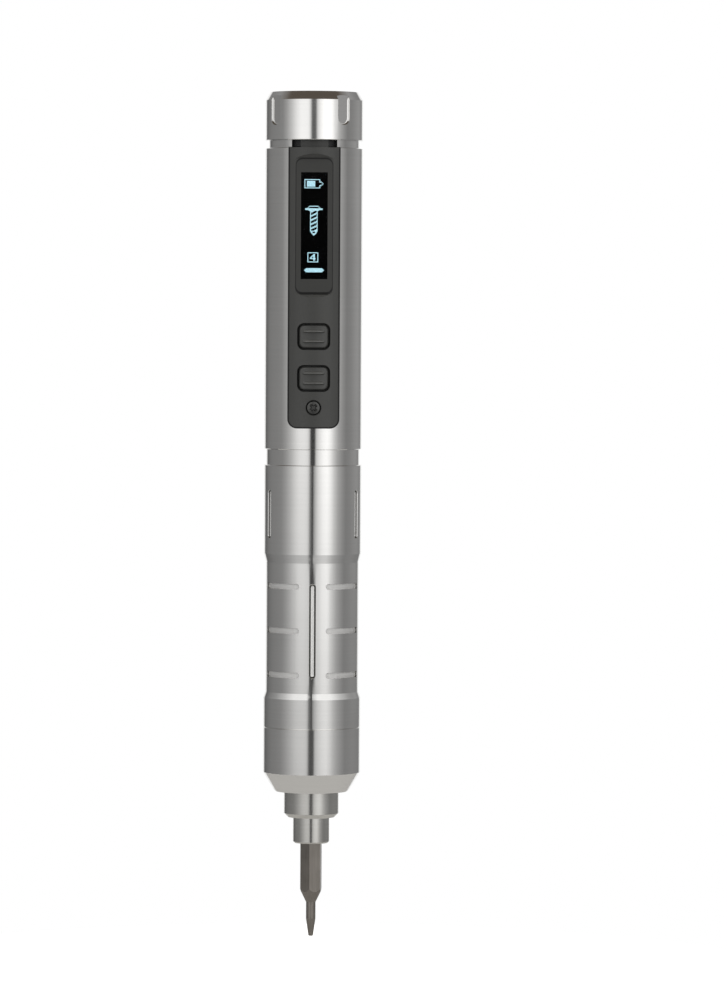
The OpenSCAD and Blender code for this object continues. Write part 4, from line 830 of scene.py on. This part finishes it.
for node in ("upper_button", "lower_button"):
    low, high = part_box(node)
    button_piece(node)
    for number, middle in enumerate((-RIB_PITCH / 2, RIB_PITCH / 2), 1):
        rib_crest(f"{node}_rib_{number}", node, middle)
    print(node, "box in mm", [round(v / MM, 2) for v in low], [round(v / MM, 2) for v in high])

# %% [markdown]
# ## The panel screw
# One small black cross-recess screw holds the panel. The head is a low disc with a chamfered rim;
# the recess has four arms with sloping walls, pressed by a punch.

# %% Screw with its cross recess
SCREW_TURN, ARM_HALF, ARM_LONG, RECESS_DEEP = math.radians(42), 0.19 * MM, 0.88 * MM, 0.42 * MM
ARM_RUN, WALL_STEP = 0.45 * MM, 0.10 * MM  # run of an arm's slope, and of its side walls
HEAD_AT, HEAD_RIM, HEAD_DOME, HEAD_THICK, SHANK_R = 0.21 * MM, 0.16 * MM, 0.20 * MM, 0.6 * MM, 0.8 * MM
HEAD_STEPS = 46
screw_low, screw_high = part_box("panel_screw")
screw_mid = (screw_low + screw_high) / 2
head_r = (screw_high.x - screw_low.x) / 2


def recess_depth(x, z):
    """Depth of the cross recess: deepest in the middle, with arms that slope up to their ends."""
    u = x * math.cos(SCREW_TURN) + z * math.sin(SCREW_TURN)
    v = z * math.cos(SCREW_TURN) - x * math.sin(SCREW_TURN)
    deepest = 0.0
    for along, across in ((abs(u), abs(v)), (abs(v), abs(u))):
        reach = min(1.0, max(0.0, (ARM_LONG - along) / ARM_RUN))
        wall = min(1.0, max(0.0, (ARM_HALF + WALL_STEP - across) / WALL_STEP))
        deepest = max(deepest, RECESS_DEEP * reach * wall)
    return deepest


def head_depth(x, z, inset):
    """Depth of the head's face: a low dome with a chamfered rim and the recess."""
    rim = max(HEAD_RIM - inset, 0)
    dome = HEAD_DOME * (1 - (math.hypot(x, z) / head_r) ** 2)
    return screw_low.y + HEAD_AT - dome + rim + recess_depth(x, z)


head_insets = sorted([head_r * i / HEAD_STEPS for i in range(HEAD_STEPS)] + [HEAD_RIM], reverse=True)
head_back = screw_low.y + HEAD_THICK
tails = (circle(head_r), head_back), (circle(SHANK_R), head_back), (circle(SHANK_R), screw_high.y)
screw = relief("panel_screw_cross", lambda inset: circle(head_r - inset), head_insets, head_depth,
               [[(x, y, z) for x, z in ring] for ring, y in tails])
screw.data.transform(Matrix.Translation((screw_mid.x, 0, screw_mid.z)))
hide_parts("panel_screw")
finish_piece(screw, black_steel, "casing")
print("screw head", round(2 * head_r / MM, 2), "mm across")

# %% [markdown]
# ## The painted shadow round the panel
# The panel drops into a milled pocket of the tube. A thin black strip of painted shadow in the
# joint shows as a fine dark line. It runs down one long side of the pocket, round the lower end
# and up the other side, and its face follows the tube's surface.

# %% Painted shadow round the panel
PANEL_W, PANEL_CORNER, PANEL_LOW, PANEL_TOP = 10.2 * MM, 1.8 * MM, 16.35 * MM, 72.0 * MM
SHADOW_WIDE, SHADOW_R, SHADOW_DEEP = 0.30 * MM, 9.742 * MM, 0.5 * MM
SIDE_STEPS, CORNER_STEPS, FOOT_STEPS, OVERLAP = 60, 12, 16, 0.07 * MM
left, corner_z, corner_r = -PANEL_W / 2, PANEL_LOW + PANEL_CORNER, PANEL_CORNER - OVERLAP
side = [(left + OVERLAP, PANEL_TOP + (corner_z - PANEL_TOP) * i / SIDE_STEPS) for i in range(SIDE_STEPS + 1)]
for step in range(1, CORNER_STEPS + 1):
    turn = math.radians(180 + 90 * step / CORNER_STEPS)
    side.append((left + PANEL_CORNER + corner_r * math.cos(turn), corner_z + corner_r * math.sin(turn)))
span = PANEL_W - 2 * PANEL_CORNER
foot = [(left + PANEL_CORNER + span * i / FOOT_STEPS, PANEL_LOW + OVERLAP) for i in range(1, FOOT_STEPS + 1)]
path = side + foot + [(-x, z) for x, z in reversed(side)]
shadow_rings = []
for i, (x, z) in enumerate(path):
    (x0, z0), (x1, z1) = path[max(i - 1, 0)], path[min(i + 1, len(path) - 1)]
    length = math.hypot(x1 - x0, z1 - z0)
    across = (-(z1 - z0) / length * SHADOW_WIDE / 2, (x1 - x0) / length * SHADOW_WIDE / 2)
    ring = []
    for sign, deep in ((-1, 0), (1, 0), (1, SHADOW_DEEP), (-1, SHADOW_DEEP)):
        px, pz = x + sign * across[0], z + sign * across[1]
        ring.append((px, -math.sqrt(SHADOW_R ** 2 - px * px) + deep, pz))
    shadow_rings.append(ring)
# painted shadow: a black strip laid in the joint round the panel
panel_shadow = loft("panel_painted_shadow", shadow_rings, closed=False)
finish_piece(panel_shadow, gap_shadow_black, "casing")
print("seal of", len(path), "steps")

# %% [markdown]
# ## Fillets in the cap's notches
# Four finger notches are cut into the rim of the tail cap. The cutter's corner is round, so a
# small fillet runs down one wall, round the lower end and up the other, and it catches the light
# as a bright line. Each is a strip with a hollow quarter-round section, laid into the corner
# between the notch's floor and its wall, and it thins out where the cap's bevel cuts the wall.

# %% Notch fillets
NOTCH_HALF, NOTCH_FLOOR, NOTCH_LOW, NOTCH_TOP = 1.45 * MM, 9.25 * MM, 78.05 * MM, 82.2 * MM
NOTCHES, NOTCH_TURN, BEVEL_AT, FILLET, ROOT = 4, 36.9, 81.6 * MM, 0.36 * MM, 0.02 * MM
WALL_STEPS = 24
wall = [(NOTCH_HALF, NOTCH_TOP + (NOTCH_LOW - NOTCH_TOP) * i / WALL_STEPS) for i in range(WALL_STEPS)]
round_end = [(NOTCH_HALF * math.cos(math.radians(a)), NOTCH_LOW - NOTCH_HALF * math.sin(math.radians(a)))
             for a in range(0, 181, 9)]
fillet_path = wall + round_end + [(-x, z) for x, z in reversed(wall)]
for i in range(NOTCHES):
    rings = []
    for x, z in fillet_path:
        size = FILLET * min(1.0, max(0.05, (NOTCH_TOP - z) / (NOTCH_TOP - BEVEL_AT)))
        out = Vector((math.copysign(1, x), 0)) if z >= NOTCH_LOW else Vector((x, z - NOTCH_LOW)).normalized()
        section = [(ROOT, -ROOT), (ROOT, size)]
        section += [(-size * (1 - math.cos(math.radians(a))), size * (1 - math.sin(math.radians(a))))
                    for a in range(0, 91, 10)] + [(-size, -ROOT)]
        rings.append([(x + out.x * across, -(NOTCH_FLOOR + up), z + out.y * across)
                      for across, up in section])
    strip = loft(f"notch_fillet_{i + 1}", rings, closed=False)
    strip.data.transform(Matrix.Rotation(math.radians(90 + NOTCH_TURN + 360 / NOTCHES * i), 4, "Z"))
    for face in strip.data.polygons:
        face.use_smooth = True
    finish_piece(strip, satin_aluminium, "tail_cap")
print("fillets of", round(FILLET / MM, 2), "mm in", NOTCHES, "notches")
